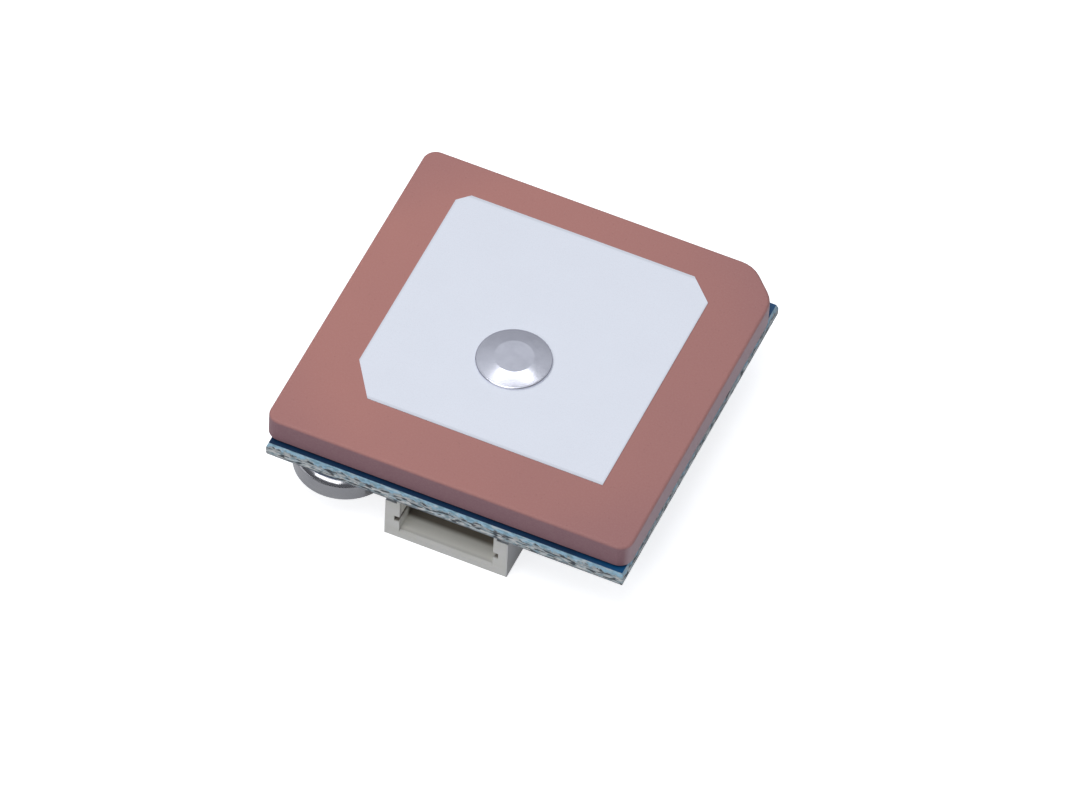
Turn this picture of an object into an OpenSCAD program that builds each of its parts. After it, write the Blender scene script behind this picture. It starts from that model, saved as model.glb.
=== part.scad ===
// Small satellite positioning module: a ceramic patch antenna bonded to a receiver board that carries
// a side-entry cable header, a back-up coin cell and the receiver circuit on its underside.
// The antenna faces up. Z 0 is the header's underside, the header opens to -Y, and X 0, Y 0 is the
// middle of the outline. Lengths are in millimetres.

/* [Antenna block] */
// Side of the square ceramic block
ceramic_side = 18; // [17.6:0.1:19]
// Thickness of the ceramic block
ceramic_t = 1.25; // [1:0.05:4]
// Rounding of the block's upright corners
ceramic_corner_r = 0.65; // [0.3:0.05:1.2]
// Legs of the cut across the block's back right corner
ceramic_cut = 1.6; // [1:0.1:2.2]
// Rounding at both ends of that cut
ceramic_cut_r = 1.5; // [0.6:0.1:1.8]
// Rounding of the block's top edge
ceramic_edge_r = 0.15; // [0.05:0.01:0.25]
// Middle of the antenna in front of (-) or behind (+) the middle of the outline
antenna_y = 0.14; // [-0.2:0.01:0.3]

/* [Electrodes] */
// Width of the patch electrode
patch_w = 12.95; // [11:0.05:14]
// Depth of the patch electrode
patch_d = 13.1; // [11:0.05:14]
// Middle of the patch to the right of the block's middle
patch_x = -0.08; // [-0.4:0.02:0.4]
// Middle of the patch behind the block's middle
patch_y = 0.58; // [-0.8:0.02:0.8]
// Thickness of a fired electrode
electrode_t = 0.03; // [0.02:0.01:0.06]
// Front left corner cut of the patch, along its width
patch_cut_front_w = 1.29; // [0.4:0.01:2.2]
// Front left corner cut of the patch, along its depth
patch_cut_front_d = 1.92; // [0.4:0.01:2.4]
// Back left corner cut of the patch
patch_cut_left = 0.55; // [0.2:0.05:1.5]
// Back right corner cut of the patch
patch_cut_right = 1.18; // [0.2:0.02:2]
// Margin of the ground electrode inside the block's outline
ground_margin = 0.25; // [0.1:0.05:0.6]
// Diameter of the bare ring round the pin in the ground electrode
ground_ring_d = 2.6; // [2:0.1:4]

/* [Feed pin] */
// Pin's place to the right of the block's middle
feed_x = -0.2; // [-0.6:0.05:0.6]
// Pin's place behind the block's middle
feed_y = -1.02; // [-1.6:0.02:0.4]
// Diameter of the pin's head
pin_head_d = 3.57; // [2.6:0.01:4]
// Height of the pin's head
pin_head_h = 0.28; // [0.15:0.01:0.45]
// Height of the head's rolled edge
pin_edge_h = 0.12; // [0.08:0.01:0.14]
// Rounding of that edge
pin_edge_r = 0.08; // [0.04:0.01:0.08]
// Diameter of the flat in the middle of the head
pin_flat_d = 1.85; // [0.8:0.05:2.2]
// Diameter of the pin's shank
pin_d = 0.9; // [0.6:0.05:1.1]
// Gap between the shank and the holes it passes
pin_slip = 0.04; // [0.02:0.01:0.1]
// Length of shank that stands out under the board
pin_tail = 0.75; // [0.5:0.05:1]
// Diameter of the solder joint on the board
joint_d = 2; // [1.6:0.05:2.3]
// Height of the solder joint
joint_h = 0.5; // [0.4:0.05:0.5]
// Height at which the solder joint's flare ends
joint_waist = 0.3; // [0.15:0.05:0.35]
// Diameter of the solder joint's tip above the shank's own
joint_rise = 0.2; // [0.1:0.05:0.3]

/* [Adhesive pad] */
// Thickness of the adhesive pad
pad_t = 0.1; // [0.05:0.01:0.3]
// Margin of the pad inside the block's outline
pad_margin = 0.75; // [0.6:0.05:1.5]
// Diameter of the pad's hole round the pin
pad_hole_d = 2.2; // [1.6:0.1:3]

/* [Circuit board] */
// Board's snapped edges inside the antenna block's outline
board_margin = 0.15; // [0:0.01:0.3]
// Thickness of the board
board_t = 0.8; // [0.6:0.05:1.6]
// Middle of the board to the right of the middle of the outline
board_x = 0.09; // [-0.2:0.01:0.2]
// Middle of the board behind the middle of the outline
board_y = -0.29; // [-0.4:0.01:0.1]
// Depth of the score cut along each edge, from the upper face
score_depth = 0.27; // [0.15:0.01:0.28]
// How far the upper score cut leans in
score_inset = 0.09; // [0.04:0.01:0.14]
// Depth of the score cut along each edge, from the lower face
score_low_depth = 0.14; // [0.1:0.01:0.28]
// How far the lower score cut leans in
score_low_inset = 0.05; // [0.03:0.01:0.14]

/* [Cable header] */
// Number of contacts
contact_count = 4; // [2:1:4]
// Distance between contacts
contact_pitch = 1; // [0.9:0.05:1.05]
// Distance from the last contact to the end of the housing
header_end = 1.55; // [1.4:0.01:1.6]
// Height of the housing below the board
header_h = 2.95; // [2.7:0.05:3.4]
// Depth of the housing
header_d = 3.8; // [3.4:0.1:4.2]
// Housing's front behind the board's front edge
header_setback = 0.41; // [0.1:0.01:0.8]
// Least gap between the coin cell and the housing
header_gap = 0.5; // [0.45:0.01:0.55]
// Thickness of the housing's side walls
header_wall = 0.72; // [0.65:0.01:0.8]
// Thickness of the wall away from the board
header_floor = 0.48; // [0.35:0.01:0.6]
// Thickness of the wall on the board
header_roof = 0.4; // [0.3:0.05:0.5]
// Thickness of the back wall
header_back = 0.9; // [0.6:0.05:1.2]
// Lead-in bevel along the opening's lower lip
header_bevel = 0.12; // [0.05:0.01:0.2]
// Depth of a keyway in each side wall
key_depth = 0.26; // [0.2:0.02:0.45]
// Height of a keyway
key_h = 0.34; // [0.3:0.02:0.6]
// Middle of the keyways above the housing's underside
key_z = 1.25; // [1.1:0.05:1.35]
// Length of the keyways from the front
key_length = 2.2; // [1:0.1:2.4]
// Height of the step at the front of each side wall, under the board
step_h = 0.63; // [0.4:0.01:0.9]
// Width of that step
step_w = 0.57; // [0.3:0.01:0.64]
// Depth of that step
step_d = 0.9; // [0.4:0.05:1]

/* [Header contacts and tabs] */
// Thickness of the contact sheet
contact_t = 0.25; // [0.15:0.01:0.3]
// Height of the contact beam
beam_h = 0.3; // [0.2:0.02:0.4]
// Middle of the contact beams above the housing's underside
beam_z = 1.75; // [1.5:0.05:1.9]
// Contact tips behind the housing's front
beam_setback = 0.9; // [0.6:0.05:1.4]
// Bevel of a contact's tip
beam_bevel = 0.1; // [0.04:0.02:0.1]
// Length of a contact's soldered foot
foot_length = 0.65; // [0.45:0.05:0.8]
// Thickness of feet and hold-down tabs
foot_t = 0.2; // [0.12:0.01:0.25]
// Gap between housing and metal
header_slip = 0.02; // [0.01:0.01:0.05]
// Length of a hold-down tab along the side wall
tab_length = 1.2; // [0.8:0.05:1.5]
// Hold-down tabs behind the housing's front
tab_setback = 1.4; // [1:0.05:1.8]
// Height of a hold-down tab's upright
tab_h = 1.2; // [0.8:0.05:1.3]
// Length of a hold-down tab's foot
tab_foot = 0.42; // [0.3:0.02:0.5]

/* [Coin cell] */
// Diameter of the cell
cell_d = 4.8; // [4.4:0.1:4.9]
// Height of the cell
cell_h = 1.4; // [1.25:0.05:1.6]
// Cell behind the board's front edge
cell_front = 0.02; // [0.02:0.02:0.3]
// Cell inside the board's left edge
cell_left = 0.46; // [0.2:0.02:0.5]
// Height of the can's straight wall
can_wall_h = 1; // [0.84:0.02:1.04]
// Rounding of the can's base
can_base_r = 0.12; // [0.05:0.01:0.25]
// Height of the crimped shoulder above that wall
crimp_rise = 0.22; // [0.12:0.02:0.26]
// How far the crimped shoulder turns in
crimp_turn = 0.32; // [0.2:0.02:0.45]
// Number of steps in the crimped shoulder's turn
crimp_steps = 8; // [4:1:12]
// Width of the crimp's lip
crimp_lip = 0.08; // [0.05:0.01:0.12]
// Thickness of the sealing ring
seal_t = 0.12; // [0.08:0.01:0.2]
// Depth of the seat that holds ring and cap, below the lip
seal_seat = 0.26; // [0.16:0.02:0.4]
// Sealing ring above the crimp's lip
seal_proud = 0.04; // [0.02:0.01:0.08]
// Rounding of the cap's edge
cap_edge_r = 0.08; // [0.03:0.01:0.1]
// Thickness of the welded tabs
strip_t = 0.15; // [0.1:0.01:0.2]
// Width of the welded tabs
strip_w = 1.2; // [0.8:0.05:1.4]
// Tabs to either side of the cell's middle
strip_x = 0.8; // [0.75:0.05:0.95]
// Gap between the can and the upright of its tab
strip_gap = 0.15; // [0.08:0.01:0.3]
// Length of the tabs' soldered feet
strip_foot = 0.9; // [0.5:0.05:1.1]

/* [Receiver chip] */
// Side of the receiver chip
receiver_side = 5; // [4.4:0.1:5.2]
// Height of the receiver chip's body
receiver_h = 0.85; // [0.6:0.05:1]
// Leads along each side
receiver_lead_count = 10; // [6:1:12]
// Distance between the receiver chip's leads
receiver_pitch = 0.4; // [0.36:0.01:0.4]
// Width of a lead
lead_w = 0.22; // [0.16:0.01:0.26]

/* [Small chips] */
// Width of the memory chip
memory_w = 3; // [2.4:0.1:3.2]
// Depth of the memory chip
memory_d = 2; // [1.8:0.1:2.4]
// Height of the memory chip
memory_h = 0.55; // [0.4:0.05:0.8]
// Leads along each side of the memory chip
memory_lead_count = 4; // [2:1:4]
// Distance between the memory chip's leads
memory_pitch = 0.5; // [0.4:0.02:0.55]
// Width of the amplifier chip
amplifier_w = 1.5; // [1.2:0.1:1.6]
// Depth of the amplifier chip
amplifier_d = 1; // [1:0.05:1.2]
// Height of the amplifier chip
amplifier_h = 0.5; // [0.4:0.05:0.8]
// Leads along each side of the amplifier chip
amplifier_lead_count = 3; // [2:1:3]
// Distance between the amplifier chip's leads
amplifier_pitch = 0.34; // [0.3:0.01:0.34]
// Width of the filter
filter_w = 1.4; // [1.1:0.1:1.6]
// Depth of the filter
filter_d = 1.1; // [0.9:0.1:1.3]
// Height of the filter
filter_h = 0.5; // [0.4:0.05:0.8]
// Gap under the leaded chips
chip_lift = 0.05; // [0.02:0.01:0.1]
// Diameter of the mark by a chip's first lead
mark_d = 0.3; // [0.2:0.02:0.36]
// Depth of that mark
mark_t = 0.04; // [0.02:0.01:0.08]

/* [Oscillator and crystal] */
// Length of the oscillator
oscillator_l = 2; // [1.6:0.1:2.4]
// Width of the oscillator
oscillator_w = 1.6; // [1.2:0.1:1.8]
// Length of the clock crystal
crystal_l = 3.2; // [2.8:0.1:3.6]
// Width of the clock crystal
crystal_w = 1.5; // [1.2:0.1:1.8]
// Height of a ceramic base
base_h = 0.5; // [0.3:0.05:0.7]
// Thickness of a metal lid
lid_t = 0.2; // [0.1:0.02:0.3]
// Margin of a lid inside its base
lid_margin = 0.14; // [0.08:0.02:0.2]
// Radius of the notches in a base's corners
notch_r = 0.16; // [0.1:0.02:0.2]

/* [Regulator] */
// Length of the regulator's body
regulator_l = 2.9; // [2.6:0.1:3.1]
// Width of the regulator's body
regulator_w = 1.6; // [1.4:0.1:1.7]
// Height of the regulator's body
regulator_h = 1; // [0.8:0.05:1.2]
// Gap under the regulator's body
regulator_lift = 0.1; // [0.05:0.01:0.2]
// Distance between the regulator's leads
regulator_pitch = 0.95; // [0.8:0.01:1]
// Width of the regulator's leads
gull_w = 0.4; // [0.3:0.02:0.5]
// Thickness of the regulator's leads
gull_t = 0.15; // [0.1:0.01:0.2]
// Height at which the leads leave the body
gull_z = 0.5; // [0.4:0.02:0.6]
// Reach of the leads before they turn to the board
gull_reach = 0.2; // [0.1:0.02:0.25]
// Length of the leads' feet
gull_foot = 0.4; // [0.3:0.02:0.5]

/* [Small parts] */
// Length of a capacitor, resistor or inductor
small_l = 1; // [0.9:0.05:1.1]
// Width of a capacitor, resistor or inductor
small_w = 0.5; // [0.4:0.02:0.56]
// Length of each tinned end
small_end = 0.25; // [0.15:0.01:0.3]
// Height of a capacitor
capacitor_h = 0.5; // [0.3:0.02:0.6]
// Height of a resistor
resistor_h = 0.33; // [0.25:0.01:0.4]
// Height of an inductor
inductor_h = 0.55; // [0.35:0.05:0.7]
// Solder toe in front of a tinned end or lead
toe = 0.2; // [0.1:0.02:0.24]
// How far solder climbs a lead or end
toe_climb = 0.2; // [0.12:0.01:0.24]
// Height of the solder on a foot's sides
mound_h = 0.12; // [0.06:0.01:0.14]
// Spread of the solder round a foot
mound_flare = 0.16; // [0.08:0.02:0.24]
// Length of an indicator light
led_l = 1.6; // [1.4:0.05:1.8]
// Width of an indicator light
led_w = 0.8; // [0.6:0.05:0.9]
// Height of an indicator light's base
led_base_h = 0.3; // [0.24:0.02:0.4]
// Height of an indicator light's lens
led_lens_h = 0.35; // [0.2:0.05:0.5]
// Margin of the lens inside the base
led_margin = 0.06; // [0.02:0.02:0.1]

/* [Hidden] */
$fn = 64;
hull_fn = 32;
dome_fn = 180;
eps = 0.01;
half = ceramic_side / 2;
board_side = ceramic_side - 2 * board_margin;
board_half = board_side / 2;
turn_in = ceramic_cut_r * (sqrt(2) - 1);

// Heights of the stack, from the header's underside up
board_z = header_h;
board_top = board_z + board_t;
ground_z = board_top + pad_t;
ceramic_z = ground_z + electrode_t;
patch_z = ceramic_z + ceramic_t;
head_z = patch_z + electrode_t;
stack_top = head_z + pin_head_h;

// Places in plan
feed_at = [feed_x, antenna_y + feed_y];
board_front = board_y - board_half;
board_left = board_x - board_half;
header_w = (contact_count - 1) * contact_pitch + 2 * header_end;
header_front = board_front + header_setback;
cell_r = cell_d / 2;
cell_at = [board_left + cell_left + cell_r, board_front + cell_front + cell_r];
header_x = max(board_x, cell_at[0] + cell_r + header_gap + header_w / 2);
can_top = can_wall_h + crimp_rise;
lip_r = cell_r - crimp_turn - crimp_lip;
seat_z = can_top - seal_seat;
cap_r = lip_r - seal_t;

// Circuit on the underside: each part's place in shares of half the board's side from the board's
// middle, and whether it lies along Y
receiver_share = [0.5, 0.25, false];
memory_share = [0.475, 0.76, false];
amplifier_share = [-0.34, 0.36, false];
filter_share = [-0.34, 0.1, false];
oscillator_share = [-0.03, 0.41, true];
crystal_share = [-0.1, 0.76, false];
regulator_share = [0.635, -0.35, false];
light_shares = [[0.62, -0.855, true], [0.79, -0.855, true]];
capacitor_shares = [
    [0.915, 0.07, true], [0.915, 0.27, true], [0.915, 0.47, true], [-0.04, 0.17, false],
    [-0.565, 0.36, true], [-0.565, 0.76, true], [0.82, 0.7, true], [0.88, -0.6, false],
    [0.68, -0.6, false], [0.26, -0.2, true], [-0.73, 0.76, true], [-0.73, 0.36, true]
];
resistor_shares = [
    [0.93, -0.855, true], [0.93, -0.35, true], [0.82, 0.88, false], [0.14, 0.6, true],
    [-0.875, 0.36, true], [-0.875, 0.76, true], [-0.565, -0.09, false]
];
inductor_shares = [[-0.34, -0.1, false], [-0.565, 0.1, true], [-0.73, 0.1, true]];

CONTACTS = [for (i = [1 : contact_count]) str("connector_contact_", i)];

// Centres and radii of the rounds in the block's outline
corner_posts = [
    [-half + ceramic_corner_r, -half + ceramic_corner_r, ceramic_corner_r],
    [half - ceramic_corner_r, -half + ceramic_corner_r, ceramic_corner_r],
    [-half + ceramic_corner_r, half - ceramic_corner_r, ceramic_corner_r],
    [half - ceramic_cut - turn_in, half - ceramic_cut_r, ceramic_cut_r],
    [half - ceramic_cut_r, half - ceramic_cut - turn_in, ceramic_cut_r]
];

// Outline of the ceramic block, drawn in by a margin
module block_outline(margin) {
    offset(delta = -margin) hull()
        for (post = corner_posts)
            translate([post[0], post[1]]) circle(post[2], $fn = hull_fn);
}

// Round post or button with a rounded top edge
module rounded_post(r, h, edge, facets) {
    rotate_extrude($fn = facets) {
        square([r, h - edge]);
        square([r - edge, h]);
        intersection() {
            translate([r - edge, h - edge]) circle(edge, $fn = hull_fn);
            square([r, h]);
        }
    }
}

// Hole round the feed pin, through everything
module feed_hole(d) {
    translate([feed_at[0], feed_at[1], -eps]) cylinder(d = d, h = stack_top);
}

module antenna_ceramic() {
    color([0.64, 0.47, 0.45]) difference() {
        translate([0, antenna_y, ceramic_z]) hull()
            for (post = corner_posts)
                translate([post[0], post[1], 0]) rounded_post(post[2], ceramic_t, ceramic_edge_r, hull_fn);
        feed_hole(pin_d + 2 * pin_slip);
    }
}

module antenna_patch() {
    w = patch_w / 2;
    d = patch_d / 2;
    color([0.87, 0.89, 0.93]) difference() {
        translate([patch_x, antenna_y + patch_y, patch_z]) linear_extrude(electrode_t) polygon([
            [-w + patch_cut_front_w, -d], [w, -d], [w, d - patch_cut_right], [w - patch_cut_right, d],
            [-w + patch_cut_left, d], [-w, d - patch_cut_left], [-w, -d + patch_cut_front_d]
        ]);
        feed_hole(pin_d + 2 * pin_slip);
    }
}

module antenna_ground() {
    color([0.8, 0.82, 0.85]) difference() {
        translate([0, antenna_y, ground_z]) linear_extrude(electrode_t) block_outline(ground_margin);
        feed_hole(ground_ring_d);
    }
}

// Half section of the pin's head: a flat, a low dome down to the rolled edge, and that edge
module pin_head_section() {
    rim = pin_head_d / 2;
    flat = pin_flat_d / 2;
    drop = pin_head_h - pin_edge_h;
    below = (rim * rim + pin_edge_h * pin_edge_h - flat * flat - pin_head_h * pin_head_h) / (2 * drop);
    dome_r = sqrt(flat * flat + (pin_head_h + below) * (pin_head_h + below));
    intersection() {
        translate([0, -below]) circle(dome_r, $fn = dome_fn);
        square([rim, pin_head_h]);
        union() {
            square([rim - pin_edge_r, pin_head_h]);
            square([rim, pin_edge_h - pin_edge_r]);
            translate([rim - pin_edge_r, pin_edge_h - pin_edge_r]) circle(pin_edge_r, $fn = hull_fn);
        }
    }
}

module feed_pin() {
    color([0.7, 0.71, 0.76]) translate([feed_at[0], feed_at[1], 0]) {
        translate([0, 0, head_z]) rotate_extrude() pin_head_section();
        translate([0, 0, board_z - pin_tail]) cylinder(d = pin_d, h = head_z - board_z + pin_tail);
    }
}

module feed_solder() {
    r = pin_d / 2;
    color([0.75, 0.76, 0.78]) translate([feed_at[0], feed_at[1], board_z]) rotate_extrude() polygon([
        [r, 0], [joint_d / 2, 0], [r + joint_rise, -joint_waist],
        [r + joint_rise / 2, -joint_h], [r, -joint_h]
    ]);
}

module adhesive_pad() {
    color([0.13, 0.14, 0.16]) difference() {
        translate([0, antenna_y, board_top]) linear_extrude(pad_t) block_outline(pad_margin);
        feed_hole(pad_hole_d);
    }
}

// Section of the board: scored from both faces and snapped, so the middle stands proud
module board_section() {
    out = board_half;
    in = out - score_inset;
    in_low = out - score_low_inset;
    rotate([90, 0, 0]) linear_extrude(board_side, center = true) polygon([
        [-in_low, 0], [in_low, 0], [out, score_low_depth], [out, board_t - score_depth],
        [in, board_t], [-in, board_t], [-out, board_t - score_depth], [-out, score_low_depth]
    ]);
}

module circuit_board() {
    color([0.05, 0.2, 0.33]) difference() {
        translate([board_x, board_y, board_z]) intersection() {
            board_section();
            rotate(90) board_section();
        }
        feed_hole(pin_d + 2 * pin_slip);
    }
}

// Header frame: X from the header's middle, Y from its front, Z from its underside
module at_header() {
    translate([header_x, header_front, 0]) children();
}

// Room for one hold-down tab in a side wall
module tab_recess() {
    depth = foot_t + header_slip;
    height = tab_h + header_slip;
    translate([header_w / 2 - depth, tab_setback - header_slip, header_h - height])
        cube([depth + eps, tab_length + 2 * header_slip, height + eps]);
}

module connector_housing() {
    inner = header_w - 2 * header_wall;
    cavity_h = header_h - header_floor - header_roof;
    cavity_d = header_d - header_back;
    slot_w = contact_t + 2 * header_slip;
    slot_h = beam_h + 2 * header_slip;
    color([0.86, 0.85, 0.8]) at_header() difference() {
        translate([-header_w / 2, 0, 0]) cube([header_w, header_d, header_h]);
        translate([-inner / 2, -eps, header_floor]) cube([inner, cavity_d + eps, cavity_h]);
        translate([-inner / 2, 0, header_floor]) rotate([90, 0, 90]) linear_extrude(inner)
            polygon([[-eps, -header_bevel - eps], [header_bevel + eps, eps], [-eps, eps]]);
        translate([-inner / 2 - key_depth, -eps, key_z - key_h / 2])
            cube([inner + 2 * key_depth, key_length + eps, key_h]);
        for (side = [0, 1]) mirror([side, 0, 0]) {
            translate([header_w / 2 - step_w, -eps, header_h - step_h])
                cube([step_w + eps, step_d + eps, step_h + eps]);
            tab_recess();
        }
        for (i = [1 : contact_count])
            translate([contact_place(i) - slot_w / 2, cavity_d - eps, beam_z - slot_h / 2])
                cube([slot_w, header_back + 2 * eps, slot_h]);
    }
}

function contact_place(i) = (i - (contact_count + 1) / 2) * contact_pitch;

// Blanked contact: a beam in the cavity, a leg behind the housing and a foot on the board
module connector_contact(i) {
    low = beam_z - beam_h / 2;
    high = beam_z + beam_h / 2;
    leg = header_d + header_slip;
    tip = beam_setback + beam_bevel;
    color([0.82, 0.75, 0.5]) at_header() translate([contact_place(i) - contact_t / 2, 0, 0])
        rotate([90, 0, 90]) linear_extrude(contact_t) polygon([
            [beam_setback, low + beam_bevel], [tip, low], [leg + foot_t, low],
            [leg + foot_t, header_h - foot_t], [leg + foot_length, header_h - foot_t],
            [leg + foot_length, header_h], [leg, header_h], [leg, high], [tip, high],
            [beam_setback, high - beam_bevel]
        ]);
}

// Bent tab: an upright let into the side wall and a foot on the board
module hold_down_tab(side) {
    wall = header_w / 2;
    color([0.8, 0.8, 0.82]) at_header() mirror([side, 0, 0]) translate([0, tab_setback + tab_length, 0])
        rotate([90, 0, 0]) linear_extrude(tab_length) polygon([
            [wall - foot_t, header_h - tab_h], [wall, header_h - tab_h], [wall, header_h - foot_t],
            [wall + tab_foot, header_h - foot_t], [wall + tab_foot, header_h], [wall - foot_t, header_h]
        ]);
}

module connector_tab_left() {
    hold_down_tab(1);
}

module connector_tab_right() {
    hold_down_tab(0);
}

// Cell frame: on the cell's axis, Z 0 at the can's base, the cap up against its tab under the board
module at_cell() {
    translate([cell_at[0], cell_at[1], board_z - strip_t - cell_h]) children();
}

// Point of the crimped shoulder at an angle above the can's wall
function crimp_point(a) = [cell_r - crimp_turn * (1 - cos(a)), can_wall_h + crimp_rise * sin(a)];

module cell_can() {
    color([0.62, 0.62, 0.63]) at_cell() rotate_extrude() difference() {
        union() {
            translate([0, can_base_r]) square([cell_r, can_wall_h - can_base_r]);
            square([cell_r - can_base_r, can_wall_h]);
            translate([cell_r - can_base_r, can_base_r]) intersection() {
                circle(can_base_r);
                translate([0, -can_base_r]) square(can_base_r);
            }
            polygon([
                [0, can_wall_h],
                for (i = [0 : crimp_steps]) crimp_point(90 * i / crimp_steps),
                [0, can_top]
            ]);
        }
        translate([0, seat_z]) square([lip_r, seal_seat + eps]);
    }
}

module cell_seal() {
    color([0.1, 0.1, 0.11]) at_cell() translate([0, 0, seat_z]) difference() {
        cylinder(r = lip_r, h = seal_seat + seal_proud);
        translate([0, 0, -eps]) cylinder(r = cap_r, h = seal_seat + seal_proud + 2 * eps);
    }
}

module cell_cap() {
    color([0.72, 0.72, 0.73]) at_cell() translate([0, 0, seat_z])
        rounded_post(cap_r, cell_h - seat_z, cap_edge_r, $fn);
}

// Strip welded under the can, turned up behind it to a foot on the board
module cell_tab_positive() {
    base = board_z - strip_t - cell_h;
    back = cell_r + strip_gap;
    color([0.74, 0.74, 0.76]) translate([cell_at[0] - strip_x - strip_w / 2, cell_at[1], 0])
        rotate([90, 0, 90]) linear_extrude(strip_w) polygon([
            [0, base - strip_t], [back + strip_t, base - strip_t], [back + strip_t, board_z - strip_t],
            [back + strip_foot, board_z - strip_t], [back + strip_foot, board_z], [back, board_z],
            [back, base], [0, base]
        ]);
}

// Flat strip between the cap and the board
module cell_tab_negative() {
    back = cell_r + strip_gap + strip_foot;
    color([0.74, 0.74, 0.76]) translate([cell_at[0] + strip_x - strip_w / 2, cell_at[1], board_z - strip_t])
        cube([strip_w, back, strip_t]);
}

// Underside frame of one part: Z grows away from the board
module under(share) {
    translate([board_x + share[0] * board_half, board_y + share[1] * board_half, board_z])
        mirror([0, 0, 1]) rotate(share[2] ? 90 : 0) children();
}

// Solder round a foot of width w that starts at Y 0 and ends at Y d: flared to both sides and past its end
module solder_mound(w, d) {
    spread = w / 2 + mound_flare;
    intersection() {
        translate([0, d + mound_flare, 0]) rotate([90, 0, 0]) linear_extrude(d + mound_flare)
            polygon([[-spread, 0], [spread, 0], [w / 2, mound_h], [-w / 2, mound_h]]);
        translate([-spread, 0, 0]) rotate([90, 0, 90]) linear_extrude(2 * spread)
            polygon([[0, 0], [d + mound_flare, 0], [d, mound_h], [0, mound_h]]);
    }
}

module contact_solder() {
    color([0.75, 0.76, 0.78]) difference() {
        at_header() for (i = [1 : contact_count])
            translate([contact_place(i), header_d + header_slip, header_h]) mirror([0, 0, 1])
                solder_mound(contact_t, foot_length);
        for (i = [1 : contact_count]) connector_contact(i);
    }
}

module tab_solder() {
    color([0.75, 0.76, 0.78]) difference() {
        at_header() for (side = [0, 1]) mirror([side, 0, 0])
            translate([header_w / 2, tab_setback + tab_length / 2, header_h]) mirror([0, 0, 1])
                rotate(-90) solder_mound(tab_length, tab_foot);
        for (side = [0, 1]) hold_down_tab(side);
    }
}

module strip_solder() {
    color([0.75, 0.76, 0.78]) difference() {
        for (x = [-strip_x, strip_x])
            translate([cell_at[0] + x, cell_at[1] + cell_r + strip_gap, board_z]) mirror([0, 0, 1])
                solder_mound(strip_w, strip_foot);
        cell_tab_positive();
        cell_tab_negative();
    }
}

module chip_body(w, d, h, lift) {
    inset = 2 * mark_d;
    difference() {
        translate([-w / 2, -d / 2, lift]) cube([w, d, h - lift]);
        translate([-w / 2 + inset, -d / 2 + min(inset, d / 2), h - mark_t])
            cylinder(d = mark_d, h = mark_t + eps);
    }
}

// Flat lead under a body's edge at X 0, with solder that climbs the body's side
module soldered_lead(w) {
    rotate([90, 0, 0]) linear_extrude(w, center = true)
        polygon([[-small_end, 0], [toe, 0], [0, toe_climb], [0, chip_lift], [-small_end, chip_lift]]);
}

// Rows of leads along the two ends of a chip
module lead_rows(w, count, pitch) {
    for (turn = [0, 180], i = [1 : count])
        rotate(turn) translate([w / 2, (i - (count + 1) / 2) * pitch, 0]) soldered_lead(lead_w);
}

module receiver_chip() {
    color([0.09, 0.09, 0.1]) under(receiver_share)
        chip_body(receiver_side, receiver_side, receiver_h, chip_lift);
}

module receiver_leads() {
    color([0.75, 0.75, 0.77]) under(receiver_share) for (turn = [0, 90])
        rotate(turn) lead_rows(receiver_side, receiver_lead_count, receiver_pitch);
}

module memory_chip() {
    color([0.09, 0.09, 0.1]) under(memory_share) chip_body(memory_w, memory_d, memory_h, chip_lift);
}

module memory_leads() {
    color([0.75, 0.75, 0.77]) under(memory_share) lead_rows(memory_w, memory_lead_count, memory_pitch);
}

module amplifier_chip() {
    color([0.11, 0.11, 0.12]) under(amplifier_share)
        chip_body(amplifier_w, amplifier_d, amplifier_h, chip_lift);
}

module amplifier_leads() {
    color([0.75, 0.75, 0.77]) under(amplifier_share)
        lead_rows(amplifier_w, amplifier_lead_count, amplifier_pitch);
}

module saw_filter() {
    color([0.78, 0.75, 0.66]) under(filter_share) chip_body(filter_w, filter_d, filter_h, 0);
}

// Ceramic base with a notch in each corner
module notched_base(l, w) {
    difference() {
        translate([-l / 2, -w / 2, 0]) cube([l, w, base_h]);
        for (x = [-l / 2, l / 2], y = [-w / 2, w / 2])
            translate([x, y, -eps]) cylinder(r = notch_r, h = base_h + 2 * eps);
    }
}

module metal_lid(l, w) {
    translate([-l / 2 + lid_margin, -w / 2 + lid_margin, base_h])
        cube([l - 2 * lid_margin, w - 2 * lid_margin, lid_t]);
}

module oscillator_base() {
    color([0.25, 0.22, 0.2]) under(oscillator_share) notched_base(oscillator_l, oscillator_w);
}

module oscillator_lid() {
    color([0.8, 0.76, 0.62]) under(oscillator_share) metal_lid(oscillator_l, oscillator_w);
}

module crystal_base() {
    color([0.25, 0.22, 0.2]) under(crystal_share) notched_base(crystal_l, crystal_w);
}

module crystal_lid() {
    color([0.8, 0.8, 0.82]) under(crystal_share) metal_lid(crystal_l, crystal_w);
}

module regulator_body() {
    color([0.09, 0.09, 0.1]) under(regulator_share)
        translate([-regulator_l / 2, -regulator_w / 2, regulator_lift])
            cube([regulator_l, regulator_w, regulator_h - regulator_lift]);
}

// Lead that leaves a body at X 0, steps down to the board and runs out in a foot
module gull_lead() {
    knee = gull_reach + gull_t;
    end = gull_reach + gull_foot;
    rotate([90, 0, 0]) linear_extrude(gull_w, center = true) polygon([
        [0, gull_z - gull_t], [gull_reach, gull_z - gull_t], [gull_reach, 0], [end, 0],
        [end, gull_t], [knee, gull_t], [knee, gull_z], [0, gull_z]
    ]);
}

module regulator_leads() {
    color([0.75, 0.75, 0.77]) under(regulator_share) {
        for (i = [-1, 0, 1]) translate([i * regulator_pitch, -regulator_w / 2, 0]) rotate(-90) gull_lead();
        for (i = [-1, 1]) translate([i * regulator_pitch, regulator_w / 2, 0]) rotate(90) gull_lead();
    }
}

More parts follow.
